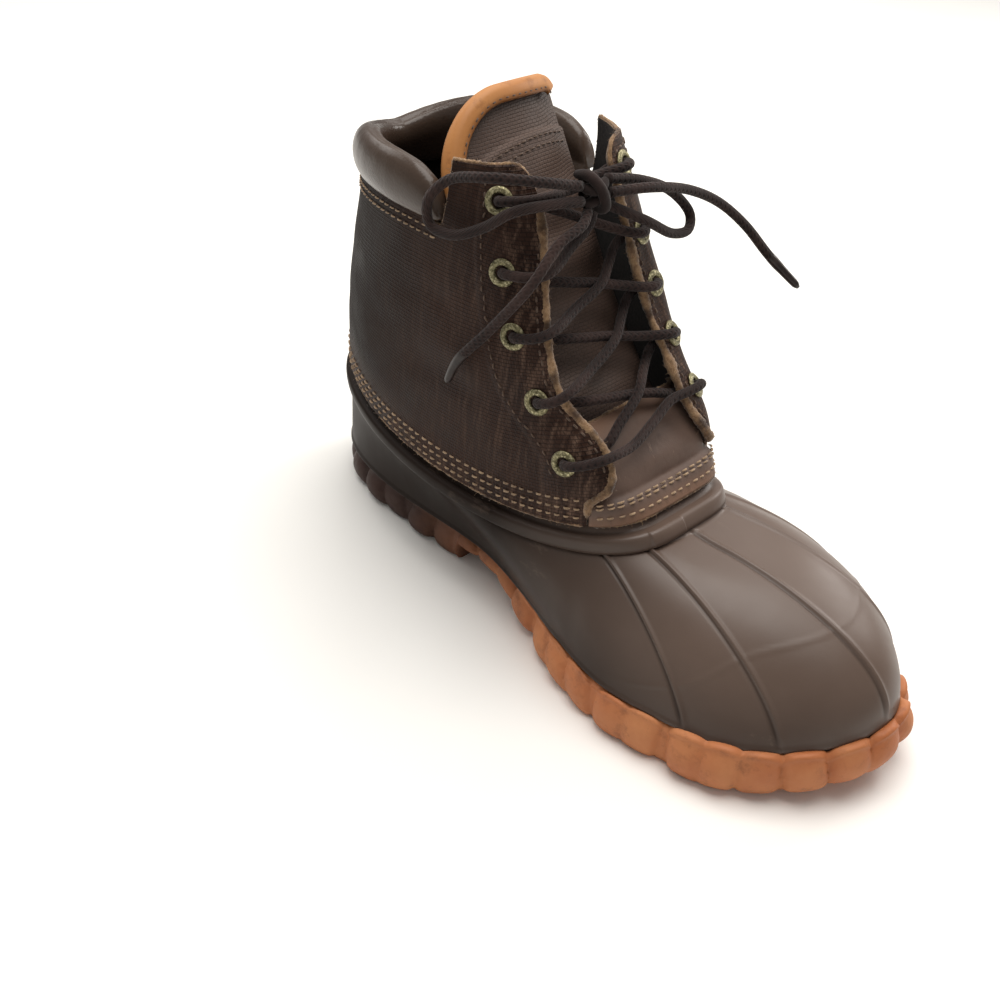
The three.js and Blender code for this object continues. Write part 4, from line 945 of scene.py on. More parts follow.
def rubberShell():
    clearance, leather = size("clearance"), size("leather")
    turns = mirrored(evenTurns(shell["stations"]))
    share = soleShare(turns)
    footOut = size("soleWall") + clearance
    rings = [soleRing(turns, footOut, floorHeight(share) + clearance),
             soleRing(turns, footOut, wallTop(share) + clearance)]
    signed = np.arctan2(np.sin(turns), np.cos(turns))
    around = np.abs(signed) / math.pi
    cap = readTable(capLine, "rise", np.minimum(around, 0.36))
    grooves = [0 * turns, 0 * turns]
    for rise in np.linspace(0, 1, shell["rows"]) ** 0.92 * 0.985:
        perTurn, perRise = stepLength(turns, rise, 0.01, 0), stepLength(turns, rise, 0, 0.01)
        out, groove = np.zeros(len(turns)), np.zeros(len(turns))
        for rib in shell["ribTurns"]:
            far = ((turns - rib + math.pi) % (2 * math.pi) - math.pi) * perTurn
            ridge = shell["ribHeight"] * np.exp(-(far / shell["ribWidth"]) ** 2)
            out = np.maximum(out, ridge * ease(0, 0.14, rise))
            # each rib has a groove beside it, cut into the shape and also darkened with painted shadow
            # through the deep tone
            aside = (far - (shell["grooveAway"] if rib > 0 else -shell["grooveAway"])) / shell["grooveWidth"]
            groove = np.maximum(groove, np.exp(-aside ** 2) * ease(0.02, 0.18, rise))
        across = (rise - cap) * perRise
        capRidge = shell["capStep"] * np.exp(-(across / shell["capWidth"]) ** 2)
        out = np.maximum(out, capRidge * (1 - ease(0.3, 0.37, around)))
        out -= shell["ribGroove"] * groove
        grooves.append(groove)
        up = rise * perRise
        out += shell["footRoll"] * (1 - ease(1.5, 4, up)) * (up > 0.3)  # a small roll over the sole's lip
        normals = normalOf(shellPoint, turns, np.full(len(turns), max(rise, 0.006)))
        points = shellPoint(turns, np.full(len(turns), rise)) + normals * out[:, None]
        points = creased(points, normals, shellCreases)
        points += normals * (shell["uneven"] * unevenness(points, 13, 1) * ease(0.02, 0.1, rise))[:, None]
        rings.append(points)
    first, last = shell["pad"]
    pad = ease(first - 0.012, first + 0.012, signed) * (1 - ease(last - 0.012, last + 0.012, signed))
    for rise, out in bandShape:
        step = shell["bandStep"] * out + shell["padStep"] * pad * max(out, 0)
        rings.append(standOff(shaftPoint, turns, rise, step))
    for rise, out in ((0.05, -leather - clearance), (size("lapTopRise"), -leather - 2 * clearance),
                      (size("lapTopRise"), -leather - 2 * clearance - size("flangeWall")),
                      (0.02, -leather - 2 * clearance - size("flangeWall"))):
        rings.append(standOff(shaftPoint, turns, rise, out + 0 * turns))
    inside = len(rings)
    for rise in (0.93, 0.75, 0.55, 0.38, 0.22, 0.1):
        rings.append(standOff(shellPoint, turns, rise, -size("shellWall") + 0 * turns))
    rings += [soleRing(turns, footOut + size("shellWall"), wallTop(share)),
              soleRing(turns, footOut + size("shellWall"), floorHeight(share) + clearance)]
    rings = np.array(rings)
    # painted shade: the deep tone darkens the shell towards the heel, on the inner side and low at the toe
    x, y, z = rings.reshape(-1, 3).T  # dark towards the heel, on the inner side and low at the toe
    deep = 0.97 * ease(-50, 62, y) + 0.4 * (1 - ease(-46, -12, x)) * ease(-85, -40, y)
    deep += 0.45 * (1 - ease(14, 44, z)) * (1 - ease(-60, 0, y)) + 0.1 * (1 - ease(20, 50, z))
    grooves += [0 * turns] * (len(rings) - len(grooves))
    deep = shell["paintedShadeMost"] * np.clip(deep + shell["grooveShadow"] * np.concatenate(grooves), 0, 1)
    rowFinish = [0] * inside + [1] * (len(rings) - 1 - inside)
    return loftMesh("rubber_shell_skin", rings, [solid["shell"], solid["lining"]], True,
                    {"deep": deep}, False, rowFinish)


settle(rubberShell(), "shell_rubber", "rubber_shell")
print("shell made")

# leather quarters
quarter = {"edgeCols": 56, "notchCols": 28, "sideCols": 62, "backCols": 30, "rows": 96, "topRows": 32,
           "cornerRadius": 7, "facing": 26, "facingStep": 0.5, "flare": 1.1, "edgeWave": 0.9,
           "edgeThicker": 0.9, "uneven": 0.4, "backstayWidth": 22, "backstayStep": 1.6, "backTurn": 0.22,
           "wornBottom": (0.8, 18), "wornFacing": (1.1, 26), "wornSide": 0.5, "heelShade": 0.8,
           "riseLength": 134}
quarterCreases = [
    ([(-47, 66, 92), (-46, 44, 98), (-45, 22, 96)], -1.3, 5),
    ([(-46, 60, 106), (-46, 42, 112), (-45, 28, 112)], 0.9, 6),
    ([(-46, 70, 122), (-46, 52, 128), (-45, 34, 126)], -0.8, 5),
    ([(-38, 104, 96), (-22, 122, 94), (-6, 130, 96)], -1.2, 5),
    ([(-36, 104, 118), (-20, 119, 116), (-6, 126, 117)], -0.8, 5),
    ([(34, 66, 92), (35, 44, 98), (35, 20, 96)], -1.3, 5),
    ([(34, 62, 112), (35, 44, 118), (35, 26, 116)], -0.8, 5),
    ([(26, 104, 98), (12, 122, 95), (-2, 129, 96)], -1, 5),
]


def quarterTurns(rise):
    whole, stay = 2 * math.pi, quarter["backTurn"]
    tab = turnAtLength(size("tabLength"), rise)
    notch = turnAtLength(size("tabLength") + size("notchWidth"), rise)
    stops = [-throatTurn("medial", rise), -tab, -notch, np.full(rise.shape, stay - math.pi),
             np.full(rise.shape, -stay - math.pi), -whole + notch, -whole + tab,
             -whole + throatTurn("lateral", rise)]
    counts = [quarter["edgeCols"], quarter["notchCols"], quarter["sideCols"], quarter["backCols"],
              quarter["sideCols"], quarter["notchCols"], quarter["edgeCols"]]
    runs = []
    for a, b, count in zip(stops, stops[1:], counts):
        runs.append(a[..., None] + (b - a)[..., None] * np.linspace(0, 1, count, endpoint=False))
    return np.concatenate(runs + [stops[-1][..., None]], -1)


def quarterTop():
    total = quarterTurns(np.array([size("seamRise")])).shape[1]
    top = np.full(total, size("seamRise"))
    for side, height in (("medial", size("topMedial")), ("lateral", size("topLateral"))):
        reach = reachOf(shaftPoint(quarterTurns(np.array([height]))[0], np.full(total, height)))
        if side == "lateral":
            reach = reach[-1] - reach
        index = np.arange(total) if side == "medial" else total - 1 - np.arange(total)
        tabbed = index <= quarter["edgeCols"]
        r = quarter["cornerRadius"]
        front = np.clip(r - reach, 0, r)
        drop = (r - np.sqrt(r * r - front ** 2)) / (0.27 * size("shaftHeight") * 1.9)
        into = (index - quarter["edgeCols"]) / quarter["notchCols"]  # a round hollow beside the tab
        hollow = size("seamRise") + (height - size("seamRise")) * (1 - np.clip(into, 0, 1)) ** 3
        top = np.where(tabbed, height - drop, np.where(into <= 1, hollow, top))
    return top


def quarters():
    top = quarterTop()
    middle = size("seamRise") - 0.06
    low = np.linspace(0, 1, quarter["rows"] - quarter["topRows"], endpoint=False)[:, None]
    high = np.linspace(0, 1, quarter["topRows"])[:, None]
    count = len(top)
    rises = np.concatenate([lerp(size("lapRise"), middle, low) + 0 * top, lerp(middle, top[None, :], high)])
    fine = np.linspace(size("lapRise"), 1.0, 160)
    table = quarterTurns(fine)
    turns = np.stack([np.interp(rises[:, j], fine, table[:, j]) for j in range(count)], 1)
    normals = normalOf(shaftPoint, turns, rises)
    base = shaftPoint(turns, rises)
    fromThroat = np.minimum(lengthFrom(base, 0), lengthFrom(base, -1))
    fromBottom = lengthsAlong(base, 0)
    facing = 1 - ease(quarter["facing"] - 0.7, quarter["facing"] + 0.7, fromThroat)
    out = quarter["facingStep"] * facing * ease(0.14, 0.2, rises)
    across = np.abs(turns + math.pi) * halfShaft
    stay = 1 - ease(quarter["backstayWidth"] / 2 - 0.7, quarter["backstayWidth"] / 2 + 0.7, across)
    out += quarter["backstayStep"] * stay * (1 - ease(0.49, 0.51, rises))
    out += quarter["uneven"] * unevenness(base, 11, 5) * ease(0, 8, fromBottom)
    higher = ease(0.2, 0.4, rises)
    wavy = (1 - ease(0, 14, fromThroat)) * unevenness(base, 7, 6)
    out += higher * (quarter["edgeWave"] * wavy + quarter["flare"] * (1 - ease(0, 7, fromThroat)))
    outer = creased(base + normals * out[..., None], normals, quarterCreases)
    thick = size("leather") + quarter["edgeThicker"] * (1 - ease(6, 12, fromThroat)) * ease(0.2, 0.3, rises)
    inner = outer - normals * (thick + 0.12 * unevenness(base, 2.5, 9))[..., None]
    cloud = 0.5 + 0.5 * unevenness(base, 16, 8)
    (low, lowReach), (beside, besideReach) = quarter["wornBottom"], quarter["wornFacing"]
    wearAndShade = low * (1 - ease(0, lowReach, fromBottom)) + beside * (1 - ease(2, besideReach, fromThroat))
    wearAndShade += quarter["wornSide"] * cloud * (1 - ease(10, 60, base[..., 1]))
    # painted shade: the quarters darken towards the heel
    deep = quarter["heelShade"] * ease(35, 108, base[..., 1]) * ease(4, 26, fromBottom)
    arc = np.linspace(-2 * math.pi, 0, 1200)
    girth = reachOf(shaftPoint(arc, 0.5 + 0 * arc))
    uv = np.stack([np.interp(turns, arc, girth), rises * quarter["riseLength"]], -1).reshape(-1, 2)
    made = sheetMesh("quarters_leather", outer, inner, [solid["leather"], solid["lining"], solid["edge"]],
                     {"wearAndShade": np.clip(wearAndShade, 0, 1), "deep": np.clip(deep, 0, 1)}, uv)
    return made, outer, inner, normals


quarterPiece, quarterSkin, quarterBack, quarterNormals = quarters()
settle(quarterPiece, "dark_leather", "quarters")
print("quarters made")

# the fluffy cut edges: a rough bead and short fibres along each
edgeShape = {"bead": 0.75, "throatBead": 1.7, "beadSides": 9, "beadStep": 0.7, "roughness": 0.45,
             "fibres": 1.1, "fibreLength": (0.8, 2.4), "fibreRadius": 0.07, "fibreBend": 0.35}
fibreFaces = [[0, 1, 4, 3], [1, 2, 5, 4], [2, 0, 3, 5], [3, 4, 7, 6], [4, 5, 8, 7], [5, 3, 6, 8]]


def roughBead(line, radius, seed):
    sides = edgeShape["beadSides"]
    count = max(int(lineLength(line) / edgeShape["beadStep"]), 8)
    reach = reachOf(line)
    run = pointsAt(line, reach, np.linspace(0, reach[-1], count))
    fade = np.minimum(np.minimum(np.arange(count), np.arange(count)[::-1]) / 4, 1)
    rings = tubeRings(run, radius * (0.25 + 0.75 * fade) * (1 + 0.4 * unevenness(run, 3, seed)), sides)
    uneven = edgeShape["roughness"] * (chance.random(rings.shape[:2] + (1,)) - 0.5)
    rings += uneven * (rings - run[:, None]) / radius
    parts = [ringPart(rings)]
    for _ in range(int(reach[-1] * edgeShape["fibres"])):
        at = chance.integers(0, count)
        root = rings[at, chance.integers(0, sides)]
        way = root - run[at] + 0.9 * radius * chance.normal(size=3)
        way *= chance.uniform(*edgeShape["fibreLength"]) / np.linalg.norm(way)
        side = unit(np.cross(way, chance.normal(size=3))) * edgeShape["fibreRadius"]
        bend = edgeShape["fibreBend"] * chance.normal(size=3)
        third = np.cross(side, unit(way))
        corners = np.array([side, third - side / 2, -third - side / 2])
        rungs = [(root, 1), (root + way / 2 + bend, 0.8), (root + way, 0.3)]
        parts.append((np.concatenate([centre + corners * wide for centre, wide in rungs]), fibreFaces))
    return parts


def borderLine(rows, columns, share):
    return lerp(quarterSkin[rows, columns], quarterBack[rows, columns], share)


allRows, allColumns = np.arange(quarterSkin.shape[0]), np.arange(quarterSkin.shape[1])
tabColumns = np.arange(0, quarter["edgeCols"] + quarter["notchCols"] + 1)
topRow = quarterSkin.shape[0] - 1
beads = roughBead(borderLine(0 * allColumns, allColumns, 0.35), edgeShape["bead"], 40)
for end, seed in ((0, 41), (-1, 42)):
    column = 0 if end == 0 else allColumns[-1]
    beads += roughBead(borderLine(allRows[2:], 0 * allRows[2:] + column, 0.35), edgeShape["throatBead"], seed)
    tab = tabColumns if end == 0 else allColumns[-1] - tabColumns
    beads += roughBead(borderLine(0 * tab + topRow, tab, 0.5), edgeShape["bead"], seed + 2)
settle(joined("quarter_raw_edges", beads, solid["edge"]), "dark_leather")

# the plug of leather under the throat
plug = {"columns": 90, "rows": 60, "uneven": 0.4, "edgeInset": 0.9}
plugCreases = [([(-24, -30, 72), (-6, -33, 75), (14, -30, 73)], -1.1, 3),
               ([(-26, -26, 78), (-8, -28, 82), (16, -25, 80)], 1.2, 3.5),
               ([(-20, -19, 86), (-4, -20, 89), (14, -18, 87)], -1, 3)]


def vampPlug():
    rises = np.linspace(size("lapRise"), size("plugRise"), plug["rows"])[:, None]
    share = np.linspace(0, 1, plug["columns"])[None, :]
    slack = 2 * size("clearance") / halfShaft
    reach = {s: throatTurn(s, np.minimum(rises, 0.13)) - slack for s in ("medial", "lateral")}
    turns = lerp(-reach["medial"], reach["lateral"], share)
    rises = rises + 0 * share
    sink = -size("plugSink") * (0.4 * ease(0.12, 0.15, rises) + 0.6 * ease(0.15, 0.36, rises))
    middle = np.sin(share * math.pi)
    sink = sink * (1 - 0.35 * middle * ease(0.12, 0.2, rises) * (1 - ease(0.24, 0.33, rises)))
    base = shaftPoint(turns, rises)
    normals = normalOf(shaftPoint, turns, rises)
    sink = sink + plug["uneven"] * unevenness(base, 8, 12) * ease(0.09, 0.13, rises)
    outer = creased(base + normals * sink[..., None], normals, plugCreases)
    inner = outer - normals * size("plugLeather")
    tan = 0.75 * ease(0.26, 0.33, rises) * (1 - share) + 0.55 * (1 - ease(0.075, 0.12, rises))
    made = sheetMesh("vamp_plug_leather", outer, inner, [solid["plug"], solid["lining"], solid["edge"]],
                     {"tan": np.clip(tan, 0, 1)})
    return made, outer, normals


plugPiece, plugSkin, plugNormals = vampPlug()
settle(plugPiece, "plug_leather", "vamp_plug")
plugEdges = plugSkin - plugNormals * plug["edgeInset"]
beads = roughBead(plugEdges[0], edgeShape["bead"], 50) + roughBead(plugEdges[-1], edgeShape["bead"], 51)
settle(joined("plug_raw_edges", beads, solid["edge"]), "plug_leather")
print("plug made")

# tongue and its binding
tongueLook = {"columns": 60, "rows": 190, "bulge": 3.2, "bulgePitch": 19, "hollow": 6, "uneven": 0.25,
              "patchDrop": 15, "patchArch": 0.005, "patchStep": 1.5, "seamRows": (2.6, 5.8),
              "seamEnds": (-25, 26)}


def tongueCurve(share):
    return np.stack([toeEnd + size("soleLength") * readTable(tongueLine, "back", share),
                     size("shaftHeight") * readTable(tongueLine, "height", share)], -1)


tongueLength = lineLength(tongueCurve(np.linspace(0, 1, 41)))


def tonguePlace(across, along, out):
    across, along, out = np.broadcast_arrays(*[np.asarray(v, float) for v in (across, along, out)])
    share = along / tongueLength
    here = tongueCurve(share)
    slope = unit(tongueCurve(share + 0.01) - tongueCurve(share - 0.01))
    back = tongueLook["hollow"] * (across / (size("tongueWidth") / 2)) ** 2 - out
    return np.stack([size("shaftWidth") * shaftRings["centre"][2] + size("tongueShift") + across,
                     here[..., 0] + back * slope[..., 1], here[..., 1] - back * slope[..., 0]], -1)


def tongueReach(corner, along):  # how far it reaches to one side of its middle
    over = np.clip((along - tongueLength + corner) / corner, 0, 1)
    narrow = size("tongueTaper") * (1 - along / tongueLength) ** 2
    return size("tongueWidth") / 2 - narrow - corner + corner * np.sqrt(np.maximum(1 - over ** 2, 0.0))


def patchLine(across):  # the arched seam of the patch that the tongue's lower part ends with
    return tongueLength - tongueLook["patchDrop"] - tongueLook["patchArch"] * (across - 14) ** 2


def tongue():
    along = tongueLength * (1 - (1 - np.linspace(0, 1, tongueLook["rows"])) ** 1.25)[:, None]
    share = np.linspace(-1, 1, tongueLook["columns"])[None, :]
    medial = tongueReach(size("tongueCorner"), along)
    lateral = tongueReach(size("tongueLateralCorner"), along)
    across = lerp(-medial, lateral, (share + 1) / 2)
    flat = tonguePlace(across, along, 0)
    height = flat[..., 2]
    waves = 0.5 - 0.5 * np.cos((height - 92) * 2 * math.pi / tongueLook["bulgePitch"])
    puff = tongueLook["bulge"] * (1 - share ** 4) * waves * (1 - ease(150, 166, height))
    lined = tongueLook["uneven"] * unevenness(flat, 9, 14) - 0.2
    patch = tongueLook["patchStep"] * (1 - ease(0, 1.4, patchLine(across) - along)) * ease(0, 30, along)
    outer = tonguePlace(across, along, puff + lined - patch)
    inner = tonguePlace(across, along, -size("tongueThickness"))
    # painted shade: the tongue darkens low down
    deep = 0.1 * (1 - ease(100, 130, height))
    return sheetMesh("tongue_leather", outer, inner, [solid["tongue"], solid["lining"], solid["edge"]],
                     {"deep": deep})


settle(tongue(), "plug_leather", "tongue")


def tongueEdge(inset, drop):  # from the inner side, over the top and round the outer corner
    half = size("tongueWidth") / 2

    def corner(side, reach, start, end):
        angle = np.linspace(start, end, 26)[:, None]
        return np.concatenate([side * (half - reach) + (reach - inset) * np.cos(angle),
                               tongueLength - reach + (reach - inset) * np.sin(angle)], 1)

    inner, outer = size("tongueCorner"), size("tongueLateralCorner")
    down = np.linspace(drop, inner, 10)[:-1, None]
    across = np.linspace(inner - half, half - outer, 16)[1:-1, None]
    return np.concatenate([np.concatenate([0 * down - half + inset, tongueLength - down], 1),
                           corner(-1, inner, math.pi, math.pi / 2),
                           np.concatenate([across, 0 * across + tongueLength - inset], 1),
                           corner(1, outer, math.pi / 2, 0.5)])


binding = {"gap": 0.42, "drop": 0.58, "uneven": 0.18, "deepEdge": 0.6, "rowInset": 1.2, "rowDrop": 0.56}


def alongEdge(inset, drop, out):
    edge = tongueEdge(inset, drop * size("tongueWidth"))
    return tonguePlace(edge[:, 0], edge[:, 1], out)


def tongueBinding():
    wide, thick, gap = size("bindingWidth"), size("bindingThickness"), binding["gap"]
    back = -size("tongueThickness")
    section = [(wide, gap - 0.3), (wide, gap + 0.5 * thick), (wide - 0.7, gap + thick),
               (wide * 0.5, gap + 1.15 * thick), (0.6, gap + 1.2 * thick), (-0.9, gap + 0.7 * thick),
               (-1.7, -0.7), (-1.8, back / 2), (-1.7, back + 0.7),
               (-0.9, back - gap - 0.7 * thick), (0.6, back - gap - thick), (wide * 0.5, back - gap - thick),
               (wide, back - gap - 0.6 * thick), (wide, back - gap), (0.4, back - gap + 0.2),
               (-0.3, back / 2), (0.4, gap - 0.25)]
    rings = np.array([alongEdge(inset, binding["drop"], out) for inset, out in section]).transpose(1, 0, 2)
    rings[:, 2:6] += binding["uneven"] * unevenness(rings[:, 2:6], 4, 20)[..., None]
    deep = np.zeros(rings.shape[:2])
    deep[:, :3] = binding["deepEdge"]
    return loftMesh("tongue_binding_leather", rings, [solid["binding"]], False, {"deep": deep.ravel()}, True)


settle(tongueBinding(), "binding_leather", "tongue_binding")
bindingRow = size("bindingWidth") - binding["rowInset"], binding["rowDrop"]
bindingLine = alongEdge(*bindingRow, binding["gap"] + size("bindingThickness"))
bindingUp = alongEdge(*bindingRow, 3) - alongEdge(*bindingRow, 2)
print("tongue made")

# padded collar
collar = {"stations": 170, "around": 44, "tabGap": 2.4, "endSteps": 7, "endShare": 0.7,
          "wrinkle": 0.036, "wrinkleStep": 0.9, "uneven": 0.3, "seamAt": 17, "seamWidth": 0.9,
          "seamDeep": 0.9}


def collarPad():
    start = float(turnAtLength(size("tabLength") + collar["tabGap"], np.array([size("seamRise")]))[0])
    steps = np.linspace(0, 1, collar["stations"])
    turns = -lerp(start, 2 * math.pi - start, steps)
    share = 1 - np.abs(1 - 2 * steps)
    rise = np.full(len(turns), size("seamRise"))
    base = shaftPoint(turns, rise)
    out = normalOf(shaftPoint, turns, rise)
    up = unit(shaftPoint(turns, rise + 0.01) - shaftPoint(turns, rise - 0.01))
    high = size("collarHeight") * readTable(collarSwell, "high", share)
    thick = size("collarThickness") * readTable(collarSwell, "thick", share)
    corners = np.array([(o, u, 0) for o, u in collarSection])
    section = throughPoints(corners, collar["around"] + 1, True)[:-1, :2]
    rings = []
    for i in range(len(turns)):
        outward = section[:, 0] * np.where(section[:, 1] < 0.1, size("collarThickness"), thick[i])
        upward = section[:, 1] * high[i]
        end = min(i, len(turns) - 1 - i) / collar["endSteps"]
        closing = lerp(collar["endShare"], 1, math.sqrt(max(1 - (1 - min(end, 1)) ** 2, 0.0)))
        centre = (outward.mean(), 0.42 * high[i])
        outward = centre[0] + (outward - centre[0]) * closing
        upward = centre[1] + (upward - centre[1]) * closing
        rings.append(base[i] + out[i] * outward[:, None] + up[i] * upward[:, None])
    rings = np.array(rings)
    away = unit(rings - rings.mean(1, keepdims=True))
    upper = np.clip(away[..., 2] + 0.3, 0, 1)
    waves = np.arange(len(turns))[:, None] * collar["wrinkleStep"] + 3 * unevenness(rings, 9, 31)
    out = collar["wrinkle"] * np.sin(waves) * upper + collar["uneven"] * unevenness(rings, 7, 30)
    rings += away * out[..., None]
    fromSeam = np.arange(collar["around"])[None, :] - collar["seamAt"]  # the piped seam along the top
    seam = collar["seamDeep"] * np.exp(-(fromSeam / collar["seamWidth"]) ** 2)
    rings -= away * (seam * (share[:, None] > 0.05))[..., None]
    return loftMesh("collar_pad_leather", rings, [solid["collar"]], False, None, True)


settle(collarPad(), "collar_leather", "collar_pad")
print("collar made")

# eyelets
eyeletLook = {"sides": 40, "stipple": 0.04, "barrelDepth": 2.4}


def eyeletPlace(side, k):
    rise = eyeletRows[side + "Rise"][k]
    turn = turnAtReach((-1 if side == "medial" else 1) * halfShaft * eyeletRows[side][k], rise)
    point = shaftPoint(turn, rise)
    return point, normalOf(shaftPoint, turn, rise)


def eyelets():
    bore, barrel, flange = size("eyeletBore") / 2, size("eyeletBarrel") / 2, size("eyeletFlange") / 2
    low, top = 2 * size("clearance"), 2 * size("clearance") + size("eyeletProud")
    deep, sides = -eyeletLook["barrelDepth"], eyeletLook["sides"]
    profile = [(bore, deep), (bore, low + 0.2), (bore + 0.15, top - 0.2), (bore + 0.55, top),
               (lerp(bore, flange, 0.5), top + 0.05), (flange - 0.7, top - 0.15), (flange - 0.1, top - 0.55),
               (flange, low + 0.1), (flange - 0.2, low - 0.3), (barrel, low - 0.3), (barrel, deep)]
    last = (len(profile) - 1) * sides
    faces = gridFaces(len(profile), sides, 0, True, True)
    faces += [[j, (j + 1) % sides, last + (j + 1) % sides, last + j] for j in range(sides)]
    coreFaces = [[j, (j + 1) % sides, sides] for j in range(sides)]
    angle = np.linspace(0, 2 * math.pi, sides, endpoint=False)[:, None]
    parts, shadeDiscs = [], []
    for side in ("medial", "lateral"):
        for k in range(5):
            point, normal = eyeletPlace(side, k)
            across = unit(np.cross(normal, [0, 0, 1]))
            ring = np.cos(angle) * across + np.sin(angle) * np.cross(normal, across)
            rings = np.array([point + ring * r + normal * h for r, h in profile])
            rings += eyeletLook["stipple"] * chance.normal(size=rings.shape[:2] + (1,)) * normal
            parts.append((rings.reshape(-1, 3), faces))
            # a dark disc with a shallow dip fills each bore: a dark sheet standing in for the shade inside
            # the hole
            disc = point + ring * (bore + 0.2) + normal * 0.1
            shadeDiscs.append((np.concatenate([disc, [point - normal * 0.5]]), coreFaces))
    return joined("eyelet_rings", parts, solid["brass"]), joined("eyelet_bore_shade", shadeDiscs, solid["lining"])


rings, depths = eyelets()
settle(rings, "brass", *["eyelet_%s_%d" % (side, k) for side in ("medial", "lateral") for k in range(1, 6)])
settle(depths, "dark_leather")
print("eyelets made")

# the lacing between the eyelets
laceOver = size("eyeletProud") + 2 * size("clearance") + size("laceDiameter") / 2 + 1.2
laceUnder = -size("leather") - size("laceDiameter") / 2 - 1.6


def overThroat(across, rise, out):
    return standOff(shaftPoint, turnAtReach(across * halfShaft, rise), rise, out)


def strandLine(places, count):
    return throughPoints([overThroat(*place) for place in places], count)


def laceBar():
    low = {name: column[0] for name, column in eyeletRows.items()}
    half = [(1, -1.5), (0.99, 2.4), (0.93, laceOver - 0.3), (0.82, laceOver - 0.2),
            (0.72, laceOver - 0.8), (0.4, 2.2)]
    places = [(-a * low["medial"], low["medialRise"], out) for a, out in half]
    places.append((0, (low["medialRise"] + low["lateralRise"]) / 2, 1.6))
    places += [(a * low["lateral"], low["lateralRise"], out) for a, out in half[::-1]]
    return strandLine(places, 80)


def laceStrand(k, start, to, lift):
    side = 1 if start == "medial" else -1
    low, high = eyeletRows[start + "Rise"][k], eyeletRows[to + "Rise"][k + 1]
    lowAt, highAt = eyeletRows[start][k], eyeletRows[to][k + 1]
    lowEdge = readTable(throatEdges, start, low, "rise")
    highEdge = readTable(throatEdges, to, high, "rise")
    if k == 0:
        first = [(-lowAt, 0, laceUnder), (-0.86 * lowEdge, 0.12, -3.2), (-0.5 * lowEdge, 0.28, -1.6)]
    else:
        first = [(-lowAt, 0, -2), (-lowAt * 0.99, 0.004, 2),
                 (-0.4 * lowAt - 0.6 * lowEdge, 0.03, laceOver + 0.1),
                 (-0.97 * lowEdge, 0.08, laceOver - 0.4), (-0.5 * lowEdge, 0.28, 0)]
    places = first + [(0, 0.5, lift), (0.5 * highEdge, 0.74, -3.4), (0.9 * highEdge, 0.92, laceUnder),
                      (0.5 * (highAt + highEdge), 0.98, laceUnder - 0.4), (highAt, 1, -3.4), (highAt, 1, 0.5)]
    return strandLine([(side * across, lerp(low, high, part), out) for across, part, out in places], 80)


def laceLead(side):
    sign = -1 if side == "medial" else 1
    rise, at = eyeletRows[side + "Rise"][4], eyeletRows[side][4]
    edge = readTable(throatEdges, side, rise, "rise")
    places = [(at, rise, -2), (0.99 * at, rise, 2.2), (0.5 * (at + edge), rise, laceOver + 0.2),
              (0.97 * edge, rise, laceOver - 0.6), (0.5 * edge, rise, 0.8), (0.1, rise, 0.4)]
    return strandLine([(sign * across, r, out) for across, r, out in places], 60)


def laceRun(name, lines, node):
    tubes = [tubeRings(line, size("laceDiameter") / 2) for line in lines]
    uv = np.concatenate([lengthsOf(tube) for tube in tubes])
    settle(joined(name, [ringPart(tube) for tube in tubes], solid["lace"], uv), "lace_cord", node)


laceRun("lacing_bar", [laceBar()], "lace_bar")
for k in range(4):
    strands = [laceStrand(k, "medial", "lateral", -0.6), laceStrand(k, "lateral", "medial", -2.4)]
    laceRun("lacing_cross_%d" % (k + 1), strands, "lace_cross_%d" % (k + 1))
laceRun("lacing_leads", [laceLead("medial"), laceLead("lateral")], "lace_leads")
print("lacing made")

# stitches
stitchLook = {  # pitch, length and radius of each kind of row
    "bottom": (4.1, 2.7, 0.42), "collar": (3.6, 2.4, 0.36), "throat": (3.7, 2.5, 0.36),
    "facing": (3.7, 2.5, 0.34), "top": (3.4, 2.4, 0.36), "binding": (3.2, 2.2, 0.3), "patch": (3.2, 2.1, 0.3),
    "bottomRows": (3.0, 6.4, 9.8), "collarRows": (2.6, 5.6), "throatInset": 3.2, "facingInset": 2,
}


def rowOnShaft(turns, rise, out):
    rise = np.broadcast_to(rise, turns.shape).astype(float)
    line = standOff(shaftPoint, turns, rise, np.broadcast_to(out, turns.shape))
    return line, normalOf(shaftPoint, turns, rise)


seams = []
bottomTurn = float(throatTurn("medial", np.array([0.1]))[0])
perRise = np.linalg.norm(shaftPoint(2.0, 0.1) - shaftPoint(2.0, 0.08)) / 0.02
for up in stitchLook["bottomRows"]:
    rise = size("lapRise") + up / perRise
    around = np.linspace(-bottomTurn - 0.03, -2 * math.pi + bottomTurn + 0.03, 700)
    seams += stitchRow(*rowOnShaft(around, rise, 0.3), *stitchLook["bottom"])
    front = np.linspace(-bottomTurn + 0.05, bottomTurn - 0.05, 200)
    seams += stitchRow(*rowOnShaft(front, min(rise, 0.135), 0.25), *stitchLook["bottom"])
notch = float(turnAtLength(size("tabLength") + size("notchWidth"), np.array([0.76]))[0])
around = np.linspace(-notch - 0.02, -2 * math.pi + notch + 0.02, 400)
for down in stitchLook["collarRows"]:
    seams += stitchRow(*rowOnShaft(around, size("seamRise") - down / 135, 0.3), *stitchLook["collar"])
settle(joined("beige_stitches", seams, solid["beige"]), "lace_cord")

brown = []


def skinRow(rows, columns):
    normals = quarterNormals[rows, columns]
    return quarterSkin[rows, columns] + normals * 0.15, normals


def besideEdge(inset, end):  # a row that keeps its distance from the throat's edge
    reach = lengthFrom(quarterSkin, end)
    rows = np.arange(14, topRow - 2)
    return skinRow(rows, np.array([np.argmin(np.abs(reach[i] - inset)) for i in rows]))


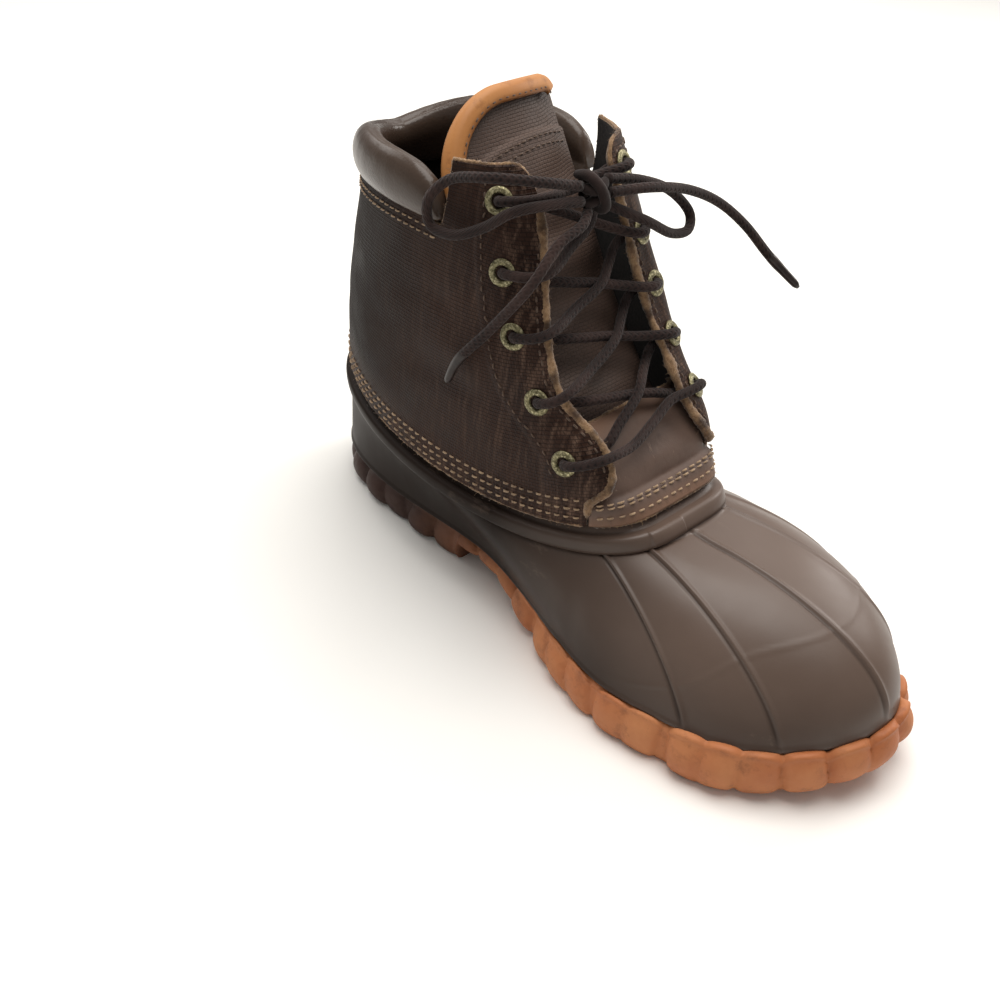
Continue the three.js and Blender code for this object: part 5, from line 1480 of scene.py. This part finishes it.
for end in (0, -1):
    brown += stitchRow(*besideEdge(stitchLook["throatInset"], end), *stitchLook["throat"])
    brown += stitchRow(*besideEdge(quarter["facing"] - stitchLook["facingInset"], end), *stitchLook["facing"])
    tab = np.arange(6, quarter["edgeCols"] - 6)
    tab = tab if end == 0 else allColumns[-1] - tab
    brown += stitchRow(*skinRow(0 * tab + topRow - 3, tab), *stitchLook["top"])
brown += stitchRow(bindingLine, bindingUp, *stitchLook["binding"])
across = np.linspace(*tongueLook["seamEnds"], 120)
for under in tongueLook["seamRows"]:
    line = tonguePlace(across, patchLine(across) - under, 0.2)
    normals = line - tonguePlace(across, patchLine(across) - under, -0.8)
    brown += stitchRow(line, normals, *stitchLook["patch"])
settle(joined("brown_stitches", brown, solid["brown"]), "lace_cord")
print("stitches made")

# floor, light and sky
studio = {
    "floor": ("f4f3ef", "fbfaf7"), "floorReach": 6, "sky": (1.0, 0.98, 0.96, 1), "skyStrength": 0.33,
    "lamps": [  # name, place, aim, width and depth, power, colour
        ("over_head", (0.1, 0.05, 1.1), (0, 0, 0.05), (0.9, 0.9), 12.5, (1, 0.97, 0.93)),
        ("right_back", (0.75, 0.55, 0.8), (0, -0.02, 0.08), (0.7, 0.7), 2.2, (1, 0.98, 0.95)),
        ("toe_side", (0.9, -0.1, 0.48), (0, -0.09, 0.05), (0.35, 0.3), 3.2, (1, 0.96, 0.92)),
        ("back_top", (-0.05, 0.95, 0.75), (0, 0.05, 0.15), (0.8, 0.4), 3.2, (1, 0.97, 0.94)),
    ],
}
floorMesh = bpy.data.meshes.new("floor")
far = studio["floorReach"]
floorMesh.from_pydata([(-far, -far, 0), (far, -far, 0), (far, far, 0), (-far, far, 0)], [], [[0, 1, 2, 3]])
floorObject = bpy.data.objects.new("floor", floorMesh)
bpy.context.scene.collection.objects.link(floorObject)
n = Nodes("floor_paper")
floorMesh.materials.append(n.shell(n.blend(n.span(n.noise(3), 0.3, 0.7), *studio["floor"]), 0.75))


for name, place, aim, width, power, colour in studio["lamps"]:
    light = bpy.data.lights.new(name, "AREA")
    light.shape = "RECTANGLE"
    light.size, light.size_y = width
    light.energy = power
    light.color = colour
    made = bpy.data.objects.new(name, light)
    bpy.context.scene.collection.objects.link(made)
    way = unit(np.array(aim, float) - np.array(place, float))
    side = unit(np.cross(way, [0, 0, 1]))
    turned = Matrix((side, np.cross(side, way), -way)).transposed()
    made.matrix_world = Matrix.Translation(place) @ turned.to_4x4()

sky = bpy.data.worlds.new("soft_sky")
sky.use_nodes = True
sky.node_tree.nodes["Background"].inputs["Color"].default_value = studio["sky"]
sky.node_tree.nodes["Background"].inputs["Strength"].default_value = studio["skyStrength"]
bpy.context.scene.world = sky
bpy.context.scene.view_settings.view_transform = "Standard"
print("light set")
